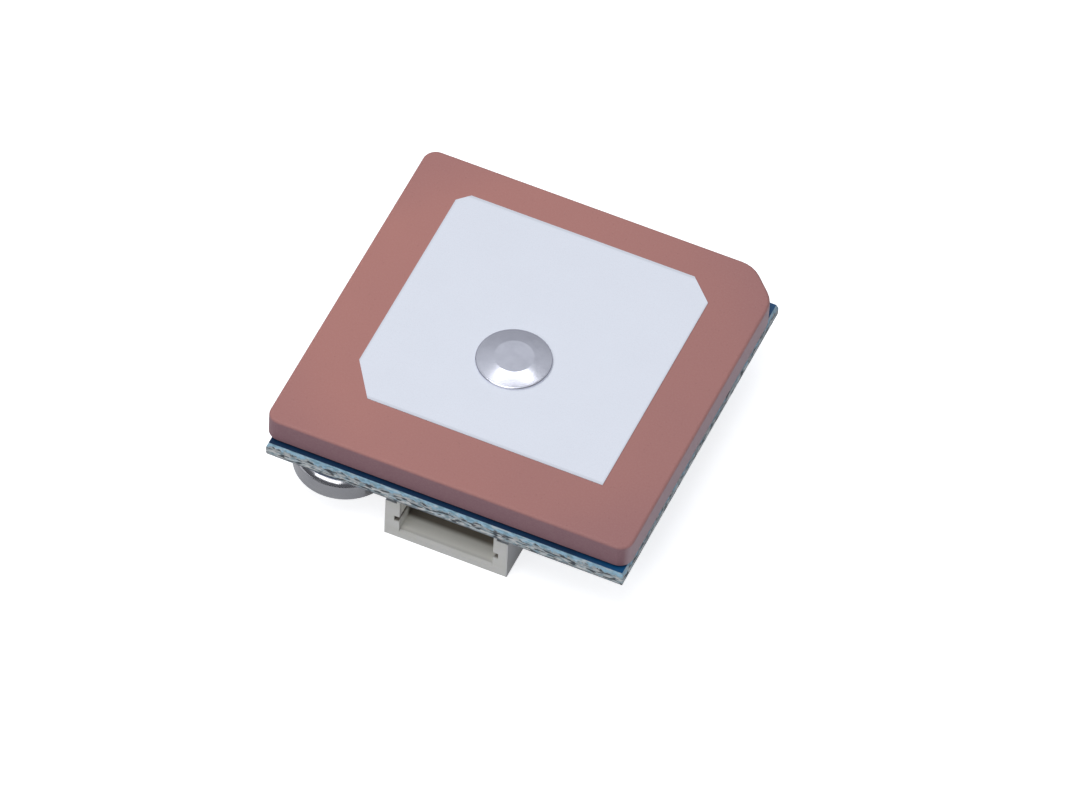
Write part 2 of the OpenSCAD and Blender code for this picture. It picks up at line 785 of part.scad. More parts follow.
// Middle of a two-ended part
module small_body(l, w, h) {
    translate([-l / 2 + small_end, -w / 2, 0]) cube([l - 2 * small_end, w, h]);
}

// Tinned ends of a two-ended part, each with its solder toe
module small_ends(l, w, h) {
    climb = min(toe_climb, h);
    for (turn = [0, 180])
        rotate(turn) translate([l / 2, 0, 0]) rotate([90, 0, 0]) linear_extrude(w, center = true)
            polygon([[-small_end, 0], [toe, 0], [0, climb], [0, h], [-small_end, h]]);
}

module light_bases() {
    color([0.9, 0.9, 0.86]) for (share = light_shares) under(share) small_body(led_l, led_w, led_base_h);
}

module light_lenses() {
    l = led_l - 2 * small_end - 2 * led_margin;
    w = led_w - 2 * led_margin;
    color([0.9, 0.88, 0.75]) for (share = light_shares) under(share)
        translate([-l / 2, -w / 2, led_base_h]) cube([l, w, led_lens_h]);
}

module light_ends() {
    color([0.82, 0.76, 0.5]) for (share = light_shares) under(share) small_ends(led_l, led_w, led_base_h);
}

module capacitor_bodies() {
    color([0.6, 0.47, 0.36]) for (share = capacitor_shares)
        under(share) small_body(small_l, small_w, capacitor_h);
}

module capacitor_ends() {
    color([0.78, 0.78, 0.8]) for (share = capacitor_shares)
        under(share) small_ends(small_l, small_w, capacitor_h);
}

module resistor_bodies() {
    color([0.08, 0.08, 0.09]) for (share = resistor_shares)
        under(share) small_body(small_l, small_w, resistor_h);
}

module resistor_ends() {
    color([0.78, 0.78, 0.8]) for (share = resistor_shares)
        under(share) small_ends(small_l, small_w, resistor_h);
}

module inductor_bodies() {
    color([0.3, 0.33, 0.36]) for (share = inductor_shares)
        under(share) small_body(small_l, small_w, inductor_h);
}

module inductor_ends() {
    color([0.78, 0.78, 0.8]) for (share = inductor_shares)
        under(share) small_ends(small_l, small_w, inductor_h);
}

antenna_ceramic();
antenna_patch();
antenna_ground();
feed_pin();
feed_solder();
adhesive_pad();
circuit_board();
connector_housing();
for (i = [1 : contact_count])
    connector_contact(i);
connector_tab_left();
connector_tab_right();
cell_can();
cell_seal();
cell_cap();
cell_tab_positive();
cell_tab_negative();
receiver_chip();
receiver_leads();
memory_chip();
memory_leads();
amplifier_chip();
amplifier_leads();
saw_filter();
oscillator_base();
oscillator_lid();
crystal_base();
crystal_lid();
regulator_body();
regulator_leads();
light_bases();
light_lenses();
light_ends();
capacitor_bodies();
capacitor_ends();
resistor_bodies();
resistor_ends();
inductor_bodies();
inductor_ends();
contact_solder();
tab_solder();
strip_solder();
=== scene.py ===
"""Looks of a small satellite positioning module, laid out as an add-on and run as a script.

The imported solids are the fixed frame. Each operator dresses one group of them, or makes pieces that go with
them. Lengths in the materials' patterns are millimetres of the object's own coordinates.
"""

import bpy
import numpy as np
from mathutils import Matrix, Vector


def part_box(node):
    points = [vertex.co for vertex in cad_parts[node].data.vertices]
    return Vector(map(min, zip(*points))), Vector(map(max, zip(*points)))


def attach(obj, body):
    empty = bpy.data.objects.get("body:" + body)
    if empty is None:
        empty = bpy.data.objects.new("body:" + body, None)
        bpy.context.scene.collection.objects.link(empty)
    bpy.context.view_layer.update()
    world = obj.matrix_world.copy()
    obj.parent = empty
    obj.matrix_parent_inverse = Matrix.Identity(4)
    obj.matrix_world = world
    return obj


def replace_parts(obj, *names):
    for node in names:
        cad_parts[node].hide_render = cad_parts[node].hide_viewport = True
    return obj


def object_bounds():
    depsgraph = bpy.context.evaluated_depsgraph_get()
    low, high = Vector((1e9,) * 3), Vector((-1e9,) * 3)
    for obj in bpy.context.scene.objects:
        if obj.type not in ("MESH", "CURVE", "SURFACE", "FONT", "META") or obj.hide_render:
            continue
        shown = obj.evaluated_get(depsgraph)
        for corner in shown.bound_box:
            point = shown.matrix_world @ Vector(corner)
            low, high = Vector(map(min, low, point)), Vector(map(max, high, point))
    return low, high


bl_info = {
    "name": "Positioning module looks",
    "version": (1, 0, 0),
    "blender": (4, 5, 0),
    "location": "View3D > Sidebar > Module",
    "description": "Finishes, small pieces and studio for a satellite positioning module",
    "category": "Object",
}

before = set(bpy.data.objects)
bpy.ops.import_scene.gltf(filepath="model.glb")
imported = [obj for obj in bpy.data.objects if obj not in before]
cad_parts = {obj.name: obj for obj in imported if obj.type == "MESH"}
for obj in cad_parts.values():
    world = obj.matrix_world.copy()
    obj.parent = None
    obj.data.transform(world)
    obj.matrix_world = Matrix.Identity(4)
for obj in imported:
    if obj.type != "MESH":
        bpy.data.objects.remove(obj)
CAD_BOX = [list(corner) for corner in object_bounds()]
MM = 0.001
CREASE = np.radians(38)
CORNERS = np.array([[1, 1], [-1, 1], [-1, -1], [1, -1]])


def paint(red, green, blue):
    """Scene-linear colour of an sRGB colour given in parts of 255."""
    share = np.array([red, green, blue]) / 255
    linear = np.where(share <= 0.04045, share / 12.92, ((share + 0.055) / 1.055) ** 2.4)
    return tuple(float(part) for part in linear)


def tint(name, description, *default):
    """A colour setting whose default is given in parts of 255."""
    return bpy.props.FloatVectorProperty(
        name=name, description=description, default=paint(*default), subtype="COLOR", size=3, min=0, max=1)


def amount(name, description, default, **more):
    """A number setting from 0 up."""
    return bpy.props.FloatProperty(name=name, description=description, default=default, min=0, **more)


def span(name, description, millimetres):
    """A length setting whose default is given in millimetres."""
    return amount(name, description, millimetres * MM, unit="LENGTH", precision=5)


def extent(node):
    """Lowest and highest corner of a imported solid's box, in millimetres."""
    return np.array(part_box(node)) / MM


def middle(node):
    """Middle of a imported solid's box, in millimetres."""
    corners = np.array(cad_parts[node].bound_box)
    return (corners.min(0) + corners.max(0)) / 2 / MM


def solids(node):
    """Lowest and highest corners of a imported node's separate solids, in millimetres. Corners at one place
    share a label, and the least label of each triangle spreads over it until nothing changes."""
    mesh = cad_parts[node].data
    places = np.empty(len(mesh.vertices) * 3)
    mesh.vertices.foreach_get("co", places)
    places = places.reshape(-1, 3) / MM
    corners = np.empty(len(mesh.loops), dtype=int)
    mesh.loops.foreach_get("vertex_index", corners)
    same = np.unique(places.round(4), axis=0, return_inverse=True)[1].ravel()
    triangles = same[corners].reshape(-1, 3)
    label = np.arange(same.max() + 1)
    settled = False
    while not settled:
        spread = label.copy()
        np.minimum.at(spread, triangles.ravel(), label[triangles].min(1).repeat(3))
        settled = bool((spread == label).all())
        label = spread
    owner = label[same]
    groups = [places[owner == name] for name in np.unique(owner)]
    return np.array([group.min(0) for group in groups]), np.array([group.max(0) for group in groups])


def gathered(nodes):
    """Corners of the separate solids of several nodes."""
    return [np.concatenate(corner) for corner in zip(*map(solids, nodes))]


def shells(name, loops, finish):
    """One piece of many closed shells, from copies by rows by columns of points in millimetres. Columns run
    round a shell and rows along it, quads join neighbours, and a flat face closes either end. All faces are
    turned round where the shells' volume, the sum of the quads' and end faces' tetrahedra from the origin,
    comes out negative."""
    copies, rows, columns, _ = loops.shape
    number = np.arange(copies * rows * columns).reshape(copies, rows, columns)
    beside = np.roll(number, -1, axis=2)
    quads = np.stack([number[:, :-1], number[:, 1:], beside[:, 1:], beside[:, :-1]], axis=-1).reshape(-1, 4)
    ends = np.concatenate([number[:, 0], number[:, -1, ::-1]])
    points = loops.reshape(-1, 3)
    volume = 0
    for faces in (quads, ends):
        first, second, third = points[faces[:, :1]], points[faces[:, 1:-1]], points[faces[:, 2:]]
        volume += (np.cross(second, third) * first).sum()
    turn = -1 if volume < 0 else 1
    mesh = bpy.data.meshes.new(name)
    mesh.from_pydata((points * MM).tolist(), [], quads[:, ::turn].tolist() + ends[:, ::turn].tolist())
    mesh.polygons.foreach_set("use_smooth", np.ones(len(mesh.polygons), dtype=bool))
    mesh.set_sharp_from_angle(angle=CREASE)
    mesh.materials.append(finish.material)
    piece = bpy.data.objects.new(name, mesh)
    bpy.context.scene.collection.objects.link(piece)
    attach(piece, "root")
    return piece


def rounded(low, high, radius, inset=0.0, steps=4):
    """Outlines of rounded rectangles in plan, one to a box: quarter circles about four corner centres, with
    radii up to 0.98 of the shorter half side."""
    angle = (np.arange(4)[:, None] + np.linspace(0, 1, steps)).ravel() * np.pi / 2
    side = np.repeat(CORNERS, steps, axis=0)
    centre = (low[:, None, :2] + high[:, None, :2]) / 2
    reach = (high[:, None, :2] - low[:, None, :2]) / 2 - inset
    radius = np.minimum(radius, reach.min(2, keepdims=True) * 0.98)
    return centre + side * (reach - radius) + radius * np.stack([np.cos(angle), np.sin(angle)], axis=-1)


def lifted(outline, height):
    """Plan points with one height added."""
    return np.concatenate([outline, np.full((*outline.shape[:-1], 1), height)], axis=-1)


def tiers(low, high, radius, insets, heights):
    """Rounded outlines one above another, each with its inset and its height."""
    rows = [lifted(rounded(low, high, radius, inset), height) for inset, height in zip(insets, heights)]
    return np.stack(rows, axis=1)


def circle(columns):
    """Points of a unit circle in plan."""
    angle = np.linspace(0, 2 * np.pi, columns, endpoint=False)
    return np.stack([np.cos(angle), np.sin(angle)], axis=-1)


def turned(centre, radii, heights, columns):
    """One turned shape: circles of the given radii and heights about an upright axis."""
    return np.stack([lifted(centre + circle(columns) * r, z) for r, z in zip(radii, heights)])[None]


def dotted(paths, count):
    """Evenly spaced points along plan paths, that many to a run."""
    step = np.linspace(0, 1, count)[:, None]
    runs = paths[:, :-1, None] * (1 - step) + paths[:, 1:, None] * step
    return runs.reshape(len(paths), -1, 2)


def ribbons(paths, width, base, top):
    """Flat strips along plan paths: at each point the sides stand half the width to either side, along the
    mitre of the two runs that meet there, and the section is a low trapezium between two heights."""
    run = np.diff(paths, axis=1)
    run /= np.linalg.norm(run, axis=2, keepdims=True)
    before, after = np.concatenate([run[:, :1], run], 1), np.concatenate([run, run[:, -1:]], 1)
    mitre = before + after
    mitre /= np.linalg.norm(mitre, axis=2, keepdims=True)
    half = width / 2 / (mitre * after).sum(2, keepdims=True)
    across = np.stack([-mitre[..., 1], mitre[..., 0]], axis=-1) * half
    section = [(1.0, base), (0.85, top), (-0.85, top), (-1.0, base)]
    return np.stack([lifted(paths + across * side, height) for side, height in section], axis=2)


class Value:
    """A shader value in Python sums: each operator adds one Math node to its finish."""

    def __init__(self, finish, socket):
        self.finish = finish
        self.socket = socket

    def math(self, operation, *terms):
        return self.finish.node("Math", {"operation": operation}, dict(enumerate(terms)))

    def __add__(self, other):
        return self.math("ADD", self, other)

    def __sub__(self, other):
        return self.math("SUBTRACT", self, other)

    def __rsub__(self, other):
        return self.math("SUBTRACT", other, self)

    def __mul__(self, other):
        return self.math("MULTIPLY", self, other)

    def __abs__(self):
        return self.math("ABSOLUTE", self)

    __radd__ = __add__
    __rmul__ = __mul__

    def top(self, other):
        """The larger of two values."""
        return self.math("MAXIMUM", self, other)

    def rise(self, low, high):
        """0 below low, 1 above high and a smooth step between, or the reverse where low is the larger."""
        sockets = {"Value": self, "From Min": low, "From Max": high}
        return self.finish.node("MapRange", {"interpolation_type": "SMOOTHSTEP"}, sockets)


class Finish:
    """One procedural material, or the world. A material's patterns read the object's own coordinates in
    millimetres."""

    def __init__(self, tree):
        self.tree = tree
        tree.nodes.clear()

    @classmethod
    def named(cls, name):
        material = bpy.data.materials.new(name)
        material.use_nodes = True
        made = cls(material.node_tree)
        made.material = material
        place = made.node("TexCoord", out="Object")
        made.at = made.node("VectorMath", {"operation": "SCALE"}, {"Vector": place, "Scale": 1 / MM})
        made.x, made.y, made.z = made.parts(made.at)
        return made

    @classmethod
    def toned(cls, name, colours, size, rough, depth, detail=2, step=(0.4, 0.8), share=0.4,
              stretch=(1.0, 1.0), cloud=None, **sockets):
        """Two colours, mixed over a step and up to a share by slow clouds, or by fine noise where no size
        of cloud is given. The noise is drawn out in plan, adds to the least roughness and is the relief."""
        made = cls.named(name)
        fine = made.noise(size, detail, made.vector(made.x * stretch[0], made.y * stretch[1], made.z))
        slow = made.noise(cloud, 2) if cloud else fine
        tone = made.mix(slow.rise(*step) * share, *colours)
        relief = made.bump(fine, depth)
        made.surface(Base_Color=tone, Roughness=rough[0] + fine * rough[1], Normal=relief, **sockets)
        return made

    @staticmethod
    def pick(sockets, key):
        """A socket by number, by identifier or by name."""
        if isinstance(key, int):
            return sockets[key]
        found = [s for s in sockets if s.identifier == key] or [s for s in sockets if s.name == key]
        return found[0]

    def node(self, kind, settings=None, sockets=None, out=0):
        """Adds a node, sets its settings first and then its sockets, and gives one of its outputs."""
        made = self.tree.nodes.new("ShaderNode" + kind)
        for key, value in (settings or {}).items():
            setattr(made, key, value)
        for key, value in (sockets or {}).items():
            target = self.pick(made.inputs, key)
            if isinstance(value, Value):
                self.tree.links.new(value.socket, target)
            elif target.type == "RGBA":
                target.default_value = (*value, 1)
            else:
                target.default_value = value
        return Value(self, self.pick(made.outputs, out)) if len(made.outputs) else made

    def noise(self, size, detail, at=None):
        """Cloudy noise from 0 to 1 with features of about that size in millimetres."""
        sockets = {"Vector": at or self.at, "Scale": 1 / size, "Detail": detail}
        return self.node("TexNoise", {}, sockets, "Fac")

    def cells(self, size):
        """Distance to the nearest of scattered points about that far apart, in shares of that distance."""
        return self.node("TexVoronoi", {}, {"Vector": self.at, "Scale": 1 / size}, "Distance")

    def vector(self, x, y, z):
        return self.node("CombineXYZ", {}, {"X": x, "Y": y, "Z": z})

    def parts(self, vector):
        """The three values of a vector."""
        return [self.node("SeparateXYZ", {}, {"Vector": vector}, axis) for axis in "XYZ"]

    def radius(self, centre):
        """Distance from an upright axis."""
        off = self.vector(self.x - centre[0], self.y - centre[1], 0.0)
        return self.node("VectorMath", {"operation": "LENGTH"}, {"Vector": off}, "Value")

    def mix(self, share, first, second):
        """first where share is 0 and second where it is 1, as colours."""
        sockets = {"Factor_Float": share, "A_Color": first, "B_Color": second}
        return self.node("Mix", {"data_type": "RGBA"}, sockets, "Result_Color")

    def bump(self, height, depth):
        """Normal of a relief whose height runs from 0 to 1 over that depth in millimetres."""
        sockets = {"Height": height, "Distance": depth * MM, "Strength": 1.0}
        return self.node("Bump", {}, sockets, "Normal")

    def surface(self, **sockets):
        """Ends the material in one Principled shader, whose sockets are given with _ for each space."""
        named = {key.replace("_", " "): value for key, value in sockets.items()}
        shader = self.node("BsdfPrincipled", {}, named)
        self.node("OutputMaterial", {}, {"Surface": shader})

    def wear(self, *nodes):
        """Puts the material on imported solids."""
        for name in nodes:
            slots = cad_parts[name].data.materials
            slots.clear()
            slots.append(self.material)


class AntennaSettings(bpy.types.PropertyGroup):
    """Finish of the antenna block, its electrodes and its pin."""
    ceramic: tint("Ceramic", "Fired ceramic of the block", 163, 115, 111)
    # Painted light: the top is mixed to this lighter, warmer colour towards the left back, where the light
    # falls
    ceramic_left_lit: tint("Warm ceramic", "Ceramic that was fired hotter, on the left", 181, 125, 117)
    ceramic_side_shade: tint("Ceramic sides", "Ground ceramic of the block's sides", 136, 100, 107)
    # Painted shade: the block's sides take this colour, darker than the top
    ceramic_right_reflection: tint("Pale ceramic", "Ground ceramic of the right side", 180, 156, 162)
    # Painted reflection: this pale colour stands in for the floor mirrored in the block's right side
    grain: span("Grain", "Size of the ceramic's grain", 0.09)
    silver: tint("Silver", "Fired silver of the electrodes", 231, 235, 244)
    # Grey silver also greys the print's rim: partly thinner silver, partly painted edge shade
    silver_grey: tint("Grey silver", "Thinner silver along the print's rim", 198, 201, 210)
    pin: tint("Pin", "Plated metal of the feed pin", 220, 221, 231)
    adhesive: tint("Adhesive", "Foam of the pad under the block", 30, 34, 42)


class BoardSettings(bpy.types.PropertyGroup):
    """Finish of the circuit board."""
    # Painted light: the two blues are the lacquer as lit and as in the block's shade, and the top takes the
    # lit one towards its right end
    mask: tint("Solder mask", "Blue lacquer over copper", 0, 84, 134)
    mask_dark: tint("Dark mask", "Blue lacquer over bare laminate", 10, 44, 76)
    scored: tint("Scored edge", "Cut lacquer along the upper bevel", 156, 194, 215)
    fibre: tint("Glass fibre", "Snapped glass fibre of the edge", 208, 210, 209)
    fibre_dark: tint("Dark fibre", "Shaded pits between the fibres", 44, 52, 60)
    fibre_teal: tint("Teal fibre", "Fibre that took up lacquer", 98, 134, 148)
    fibre_size: span("Fibre bundle", "Height of a bundle of fibres", 0.15)


class HeaderSettings(bpy.types.PropertyGroup):
    """Finish of the cable header."""
    plastic: tint("Plastic", "Moulded plastic of the housing", 209, 208, 204)
    plastic_shade: tint("Flow marks", "Plastic along the flow marks", 201, 200, 192)
    # Painted shade: the housing's right side is given this greyer colour
    plastic_right_shade: tint("Side plastic", "Plastic of the right side", 198, 197, 196)
    # Painted light: the plastic inside the opening is given this lighter colour, as if lit
    plastic_inside_light: tint("Opening", "Smooth plastic just inside the opening", 237, 236, 229)
    # Painted shade: plastic deep in the opening and in the keyways takes this dark colour
    plastic_deep_shade: tint("Deep plastic", "Plastic deep in the opening", 124, 117, 108)
    contact: tint("Contact", "Plating of the contacts", 222, 196, 130)
    tin: tint("Tin", "Tinned sheet of the tabs and strips", 206, 207, 210)


class CellSettings(bpy.types.PropertyGroup):
    """Finish of the coin cell."""
    steel: tint("Steel", "Plated steel of the can and cap", 147, 147, 150)
    # Painted highlight: the crimped shoulder is given this much lighter steel
    shoulder_highlight: tint("Burnished steel", "Steel of the crimped shoulder", 224, 224, 228)
    base_edge: span("Base edge", "Rounding of the can's base", 0.12)
    ring: tint("Ring", "Polymer of the sealing ring", 30, 30, 33)


class CircuitSettings(bpy.types.PropertyGroup):
    """Finish of the parts on the underside."""
    resin: tint("Chip resin", "Moulding resin of the chips", 38, 38, 41)
    solder: tint("Solder", "Solder of joints, leads and ends", 202, 205, 208)
    lid: tint("Lid", "Plated lids of oscillator and crystal", 214, 202, 160)
    base: tint("Base", "Dark ceramic under the lids", 72, 66, 62)
    filter: tint("Filter", "Pale ceramic of the filter", 214, 206, 186)
    capacitor: tint("Capacitor", "Ceramic of the capacitors", 168, 134, 104)
    resistor: tint("Resistor", "Glaze of the resistors", 26, 27, 30)
    inductor: tint("Inductor", "Ceramic of the inductors", 96, 106, 118)
    light_base: tint("Light base", "Laminate of the indicator lights", 232, 230, 216)
    lens: tint("Lens", "Resin of the indicator lights", 236, 232, 206)


class UndersideSettings(bpy.types.PropertyGroup):
    """Copper, lacquer, solder and print on the board's underside."""
    toe: span("Fillet", "Length of the solder in front of an end or lead", 0.2)
    flare: span("Flare", "Spread of the solder round a foot", 0.16)
    shank: span("Shank", "Diameter of the feed pin's shank", 0.9)
    copper: span("Copper", "Height of pads above the board", 0.02)
    pad_margin: span("Pad margin", "Pad that shows round its solder", 0.06)
    trace: span("Trace", "Width of a trace", 0.15)
    gap: span("Gap", "Bare laminate to either side of a trace", 0.1)
    via: span("Via", "Diameter of a via's ring", 0.44)
    hole: span("Hole", "Diameter of a via's hole", 0.2)
    line: span("Print line", "Width of a printed line", 0.11)
    trace_lacquer: tint("Trace lacquer", "Lacquer over a trace", 6, 92, 148)
    gap_lacquer: tint("Gap lacquer", "Lacquer over bare laminate", 6, 34, 62)
    print_white: tint("Print", "White print on the lacquer", 226, 228, 226)


class StageSettings(bpy.types.PropertyGroup):
    """Floor, lamps, sky and camera."""
    roof_power: amount("Overhead lamp", "Power of the broad lamp overhead", 0.76, unit="POWER")
    top_power: amount("Top lamp", "Power of the small lamp above and behind", 0.07, unit="POWER")
    front_power: amount("Front lamp", "Power of the lamp at the front left", 0.3, unit="POWER")
    under_power: amount("Under lamp", "Power of the lamp under the clear table", 0.5, unit="POWER")
    sky: tint("Sky", "Studio ceiling", 224, 227, 233)
    wall: tint("Wall", "Studio walls", 168, 170, 176)
    horizon: tint("Horizon", "Dark foot of the studio walls", 92, 93, 97)
    floor: tint("Floor", "Floor's own colour", 224, 225, 227)
    floor_white: amount(
        "White floor", "White added to what the camera sees of the floor", 0.72, max=1, subtype="FACTOR")
    floor_mirror: amount(
        "Mirrored floor", "Share of that white that shows in metal", 0.15, max=1, subtype="FACTOR")


class MODULE_OT_antenna(bpy.types.Operator):
    """Dresses the ceramic block, its electrodes, the feed pin and the adhesive pad"""
    bl_idname = "module.antenna"
    bl_label = "Dress antenna"

    GRAIN = (0.62, 0.47, 0.43)
    PORE = (0.16, 0.08, 0.07)
    STAIN = (0.46, 0.47, 0.53)
    BUBBLE = (0.03, 0.035, 0.05)

    def execute(self, context):
        look = context.scene.module_antenna
        ceramic = Finish.named("fired_ceramic")
        right, _, top = extent("antenna_ceramic")[1]
        cloud = ceramic.noise(3.5, 3)
        grain = ceramic.noise(look.grain / MM, 3)
        pores = ceramic.cells(0.32).rise(0.16, 0.06)
        # Painted light: the top turns lighter and warmer towards the left back, where the light falls
        left_light = (ceramic.x * 0.8 - ceramic.y * 0.2).rise(10.0, -10.0)
        clay = ceramic.mix(left_light * 0.7 + cloud * 0.3, look.ceramic, look.ceramic_left_lit)
        corner = (abs(ceramic.x) + abs(ceramic.y)).rise(12.0, 17.0)
        clay = ceramic.mix(corner * 0.2, clay, look.ceramic_side_shade)
        # Painted reflection: over the last 0.3 mm towards the right the sides turn pale, for the floor
        # mirrored at a grazing angle
        pale = ceramic.x.rise(right - 0.3, right) * 0.8
        ground = ceramic.mix(pale, look.ceramic_side_shade, look.ceramic_right_reflection)
        # Painted shade: below the top's rounded rim the sides take the darker side colours
        clay = ceramic.mix(ceramic.z.rise(top - 0.02, top - 0.16), clay, ground)
        clay = ceramic.mix(grain.rise(0.35, 0.75) * 0.05, clay, self.GRAIN)
        clay = ceramic.mix(pores * 0.12, clay, self.PORE)
        relief = ceramic.bump(grain - pores * 0.6, 0.005)
        rough = 0.5 + grain * 0.12
        ceramic.surface(Base_Color=clay, Roughness=rough, Normal=relief, Specular_IOR_Level=0.25)
        ceramic.wear("antenna_ceramic")

        silver = Finish.named("fired_silver")
        low, high = extent("antenna_patch")
        centre = (low + high) / 2
        half = (high - low)[0] / 2
        flakes = silver.noise(0.05, 2)
        print_lines = silver.noise(0.5, 2, silver.vector(silver.x * 0.12, silver.y * 2.2, silver.z))
        cloud = silver.noise(2.6, 2)
        off = abs(silver.x - centre[0]).top(abs(silver.y - centre[1]))
        paste = silver.mix(flakes.rise(0.4, 0.8) * 0.16 + cloud * 0.1, look.silver, look.silver_grey)
        # The print's rim turns greyer: partly thinner silver, partly painted edge shade
        paste = silver.mix(off.rise(half - 0.115, half - 0.005) * 0.5, paste, look.silver_grey)
        relief = silver.bump(flakes * 0.7 + print_lines * 0.5, 0.006)
        silver.surface(Base_Color=paste, Roughness=0.5 + print_lines * 0.12, Metallic=0.2, Normal=relief)
        silver.wear("antenna_patch", "antenna_ground")

        pin = Finish.named("plated_pin")
        turning = pin.noise(0.03, 1, pin.vector(pin.radius(middle("feed_pin")), 0.0, 0.0))
        stain = pin.noise(0.7, 3)
        metal = pin.mix(stain.rise(0.35, 0.8) * 0.3, look.pin, self.STAIN)
        relief = pin.bump(turning * 0.4 + stain, 0.003)
        pin.surface(Base_Color=metal, Metallic=1.0, Roughness=0.15 + stain * 0.06, Normal=relief)
        pin.wear("feed_pin")

        foam = Finish.named("adhesive_foam")
        bubbles = foam.cells(0.12)
        film = foam.mix(bubbles.rise(0.2, 0.7), look.adhesive, self.BUBBLE)
        foam.surface(Base_Color=film, Roughness=0.7 + bubbles * 0.2, Normal=foam.bump(bubbles, 0.03))
        foam.wear("adhesive_pad")
        return {"FINISHED"}


class MODULE_OT_board(bpy.types.Operator):
    """Dresses the circuit board: lacquered faces, scored bevels and snapped glass fibre"""
    bl_idname = "module.board"
    bl_label = "Dress board"

    def execute(self, context):
        look = context.scene.module_board
        board = Finish.named("lacquered_laminate")
        low, high = extent("circuit_board")
        thick = (high - low)[2]
        along = board.x + board.y
        bundle = look.fibre_size / MM
        height = board.z - low[2]
        fibres = board.noise(bundle, 2, board.vector(along * 0.45, height, 0.0))
        pits = board.noise(bundle * 0.9, 1, board.vector(along * 0.28, height, 5.0))
        ends = board.noise(bundle * 0.3, 2, board.vector(along, height * 0.8, 3.0))
        tufts = board.noise(bundle * 2.2, 2, board.vector(along, height * 0.5, 7.0))
        snapped = board.mix(fibres.rise(0.6, 0.36) * 0.75, look.fibre, look.fibre_teal)
        snapped = board.mix(tufts.rise(0.5, 0.7) * 0.25, snapped, look.scored)
        snapped = board.mix(pits.rise(0.49, 0.62) * 0.92, snapped, look.fibre_dark)
        shade = (height.rise(0.2, 0.06) * 0.6).top(height.rise(0.36, 0.5) * 0.24)
        snapped = board.mix(shade, snapped, look.fibre_dark)
        scored = (height + (tufts - 0.5) * 0.55 + (ends - 0.5) * 0.15).rise(0.54, 0.63)
        bevel = board.mix(fibres.rise(0.4, 0.65) * 0.6, look.scored, look.fibre_teal)
        bevel = board.mix(pits.rise(0.5, 0.7) * 0.7, bevel, look.fibre)
        rim = board.mix(scored, snapped, bevel)
        # Painted light: copper here is a mask that turns the top's lacquer from the shaded blue to the lit
        # blue towards the right end, with cloudy edges
        copper = (board.x * 0.3 + board.noise(2.4, 1) * 1.2).rise(2.2, 3.2)
        weave = board.noise(0.2, 1)
        under = height.rise(0.02, 0.01)
        light_blue_share = copper * (0.8 - under * 0.6) + under * 0.4 + weave * 0.1
        lacquer = board.mix(light_blue_share, look.mask_dark, look.mask)
        face = height.rise(thick - 0.02, thick - 0.01).top(under)
        colour = board.mix(face, rim, lacquer)
        rough = 0.66 - face * 0.34 + ends * 0.1
        relief = board.bump((fibres * 0.5 + ends - pits * 0.6) * (1 - face) + weave * face * 0.15, 0.04)
        board.surface(Base_Color=colour, Roughness=rough, Normal=relief)
        board.wear("circuit_board")
        return {"FINISHED"}


class MODULE_OT_header(bpy.types.Operator):
    """Dresses the cable header, its contacts and the tinned tabs and strips"""
    bl_idname = "module.header"
    bl_label = "Dress header"

    SPARK = (0.45, 0.44, 0.4)
    TARNISH = (0.42, 0.3, 0.13)
    DULL_TIN = (0.36, 0.36, 0.38)
    # The opening's half width, floor, roof and depth, and half the width between its keyways
    HALF, FLOOR, ROOF, DEPTH = 2.6, 0.3, 2.7, 3.4
    KEYWAYS = 2.35

    def execute(self, context):
        look = context.scene.module_header
        plastic = Finish.named("moulded_plastic")
        flow = plastic.noise(1.4, 3, plastic.vector(plastic.x * 0.6, plastic.y, plastic.z * 2.0))
        spark = plastic.noise(0.05, 2)
        resin = plastic.mix(flow.rise(0.35, 0.7) * 0.7, look.plastic, look.plastic_shade)
        resin = plastic.mix(spark.rise(0.62, 0.8) * 0.15, resin, self.SPARK)
        low, high = extent("connector_housing")
        off = abs(plastic.x - (low[0] + high[0]) / 2)
        inward = plastic.y - low[1]
        within = off.rise(self.HALF + 0.1, self.HALF) * plastic.z.rise(self.FLOOR - 0.1, self.FLOOR)
        within = within * plastic.z.rise(self.ROOF + 0.1, self.ROOF)
        within = within * inward.rise(self.DEPTH + 0.1, self.DEPTH)
        # Painted shade: the keyways in the side walls are darkened
        keyway_shade = off.rise(self.KEYWAYS, self.KEYWAYS + 0.06) * inward.rise(0.02, 0.1) * within
        # Painted shade: the right side of the housing turns greyer
        resin = plastic.mix(plastic.x.rise(high[0] - 0.08, high[0] - 0.02), resin, look.plastic_right_shade)
        # Painted light: inside the opening the plastic turns lighter
        resin = plastic.mix(inward.rise(0.1, 0.35) * within, resin, look.plastic_inside_light)
        # Painted shade: deeper than about 1 mm into the opening, and in the keyways, the plastic turns dark
        resin = plastic.mix((inward.rise(0.86, 1.2) * within).top(keyway_shade * 0.9), resin, look.plastic_deep_shade)
        relief = plastic.bump(spark, 0.006)
        rough = 0.46 + spark * 0.16
        plastic.surface(Base_Color=resin, Roughness=rough, Normal=relief, Specular_IOR_Level=0.4)
        plastic.wear("connector_housing")

        contact = Finish.toned(
            "plated_contact", (look.contact, self.TARNISH), size=0.04, rough=(0.24, 0.16), depth=0.004,
            stretch=(3.0, 0.2), cloud=0.5, Metallic=1.0)
        contact.wear(*["connector_contact_%d" % place for place in range(1, 5)])
        tin = Finish.toned(
            "tinned_sheet", (look.tin, self.DULL_TIN), size=0.05, rough=(0.26, 0.2), depth=0.005,
            step=(0.35, 0.8), stretch=(2.0, 0.25), cloud=0.6, Metallic=1.0)
        tin.wear("connector_tab_left", "connector_tab_right", "cell_tab_positive", "cell_tab_negative",
                 "regulator_leads")
        return {"FINISHED"}


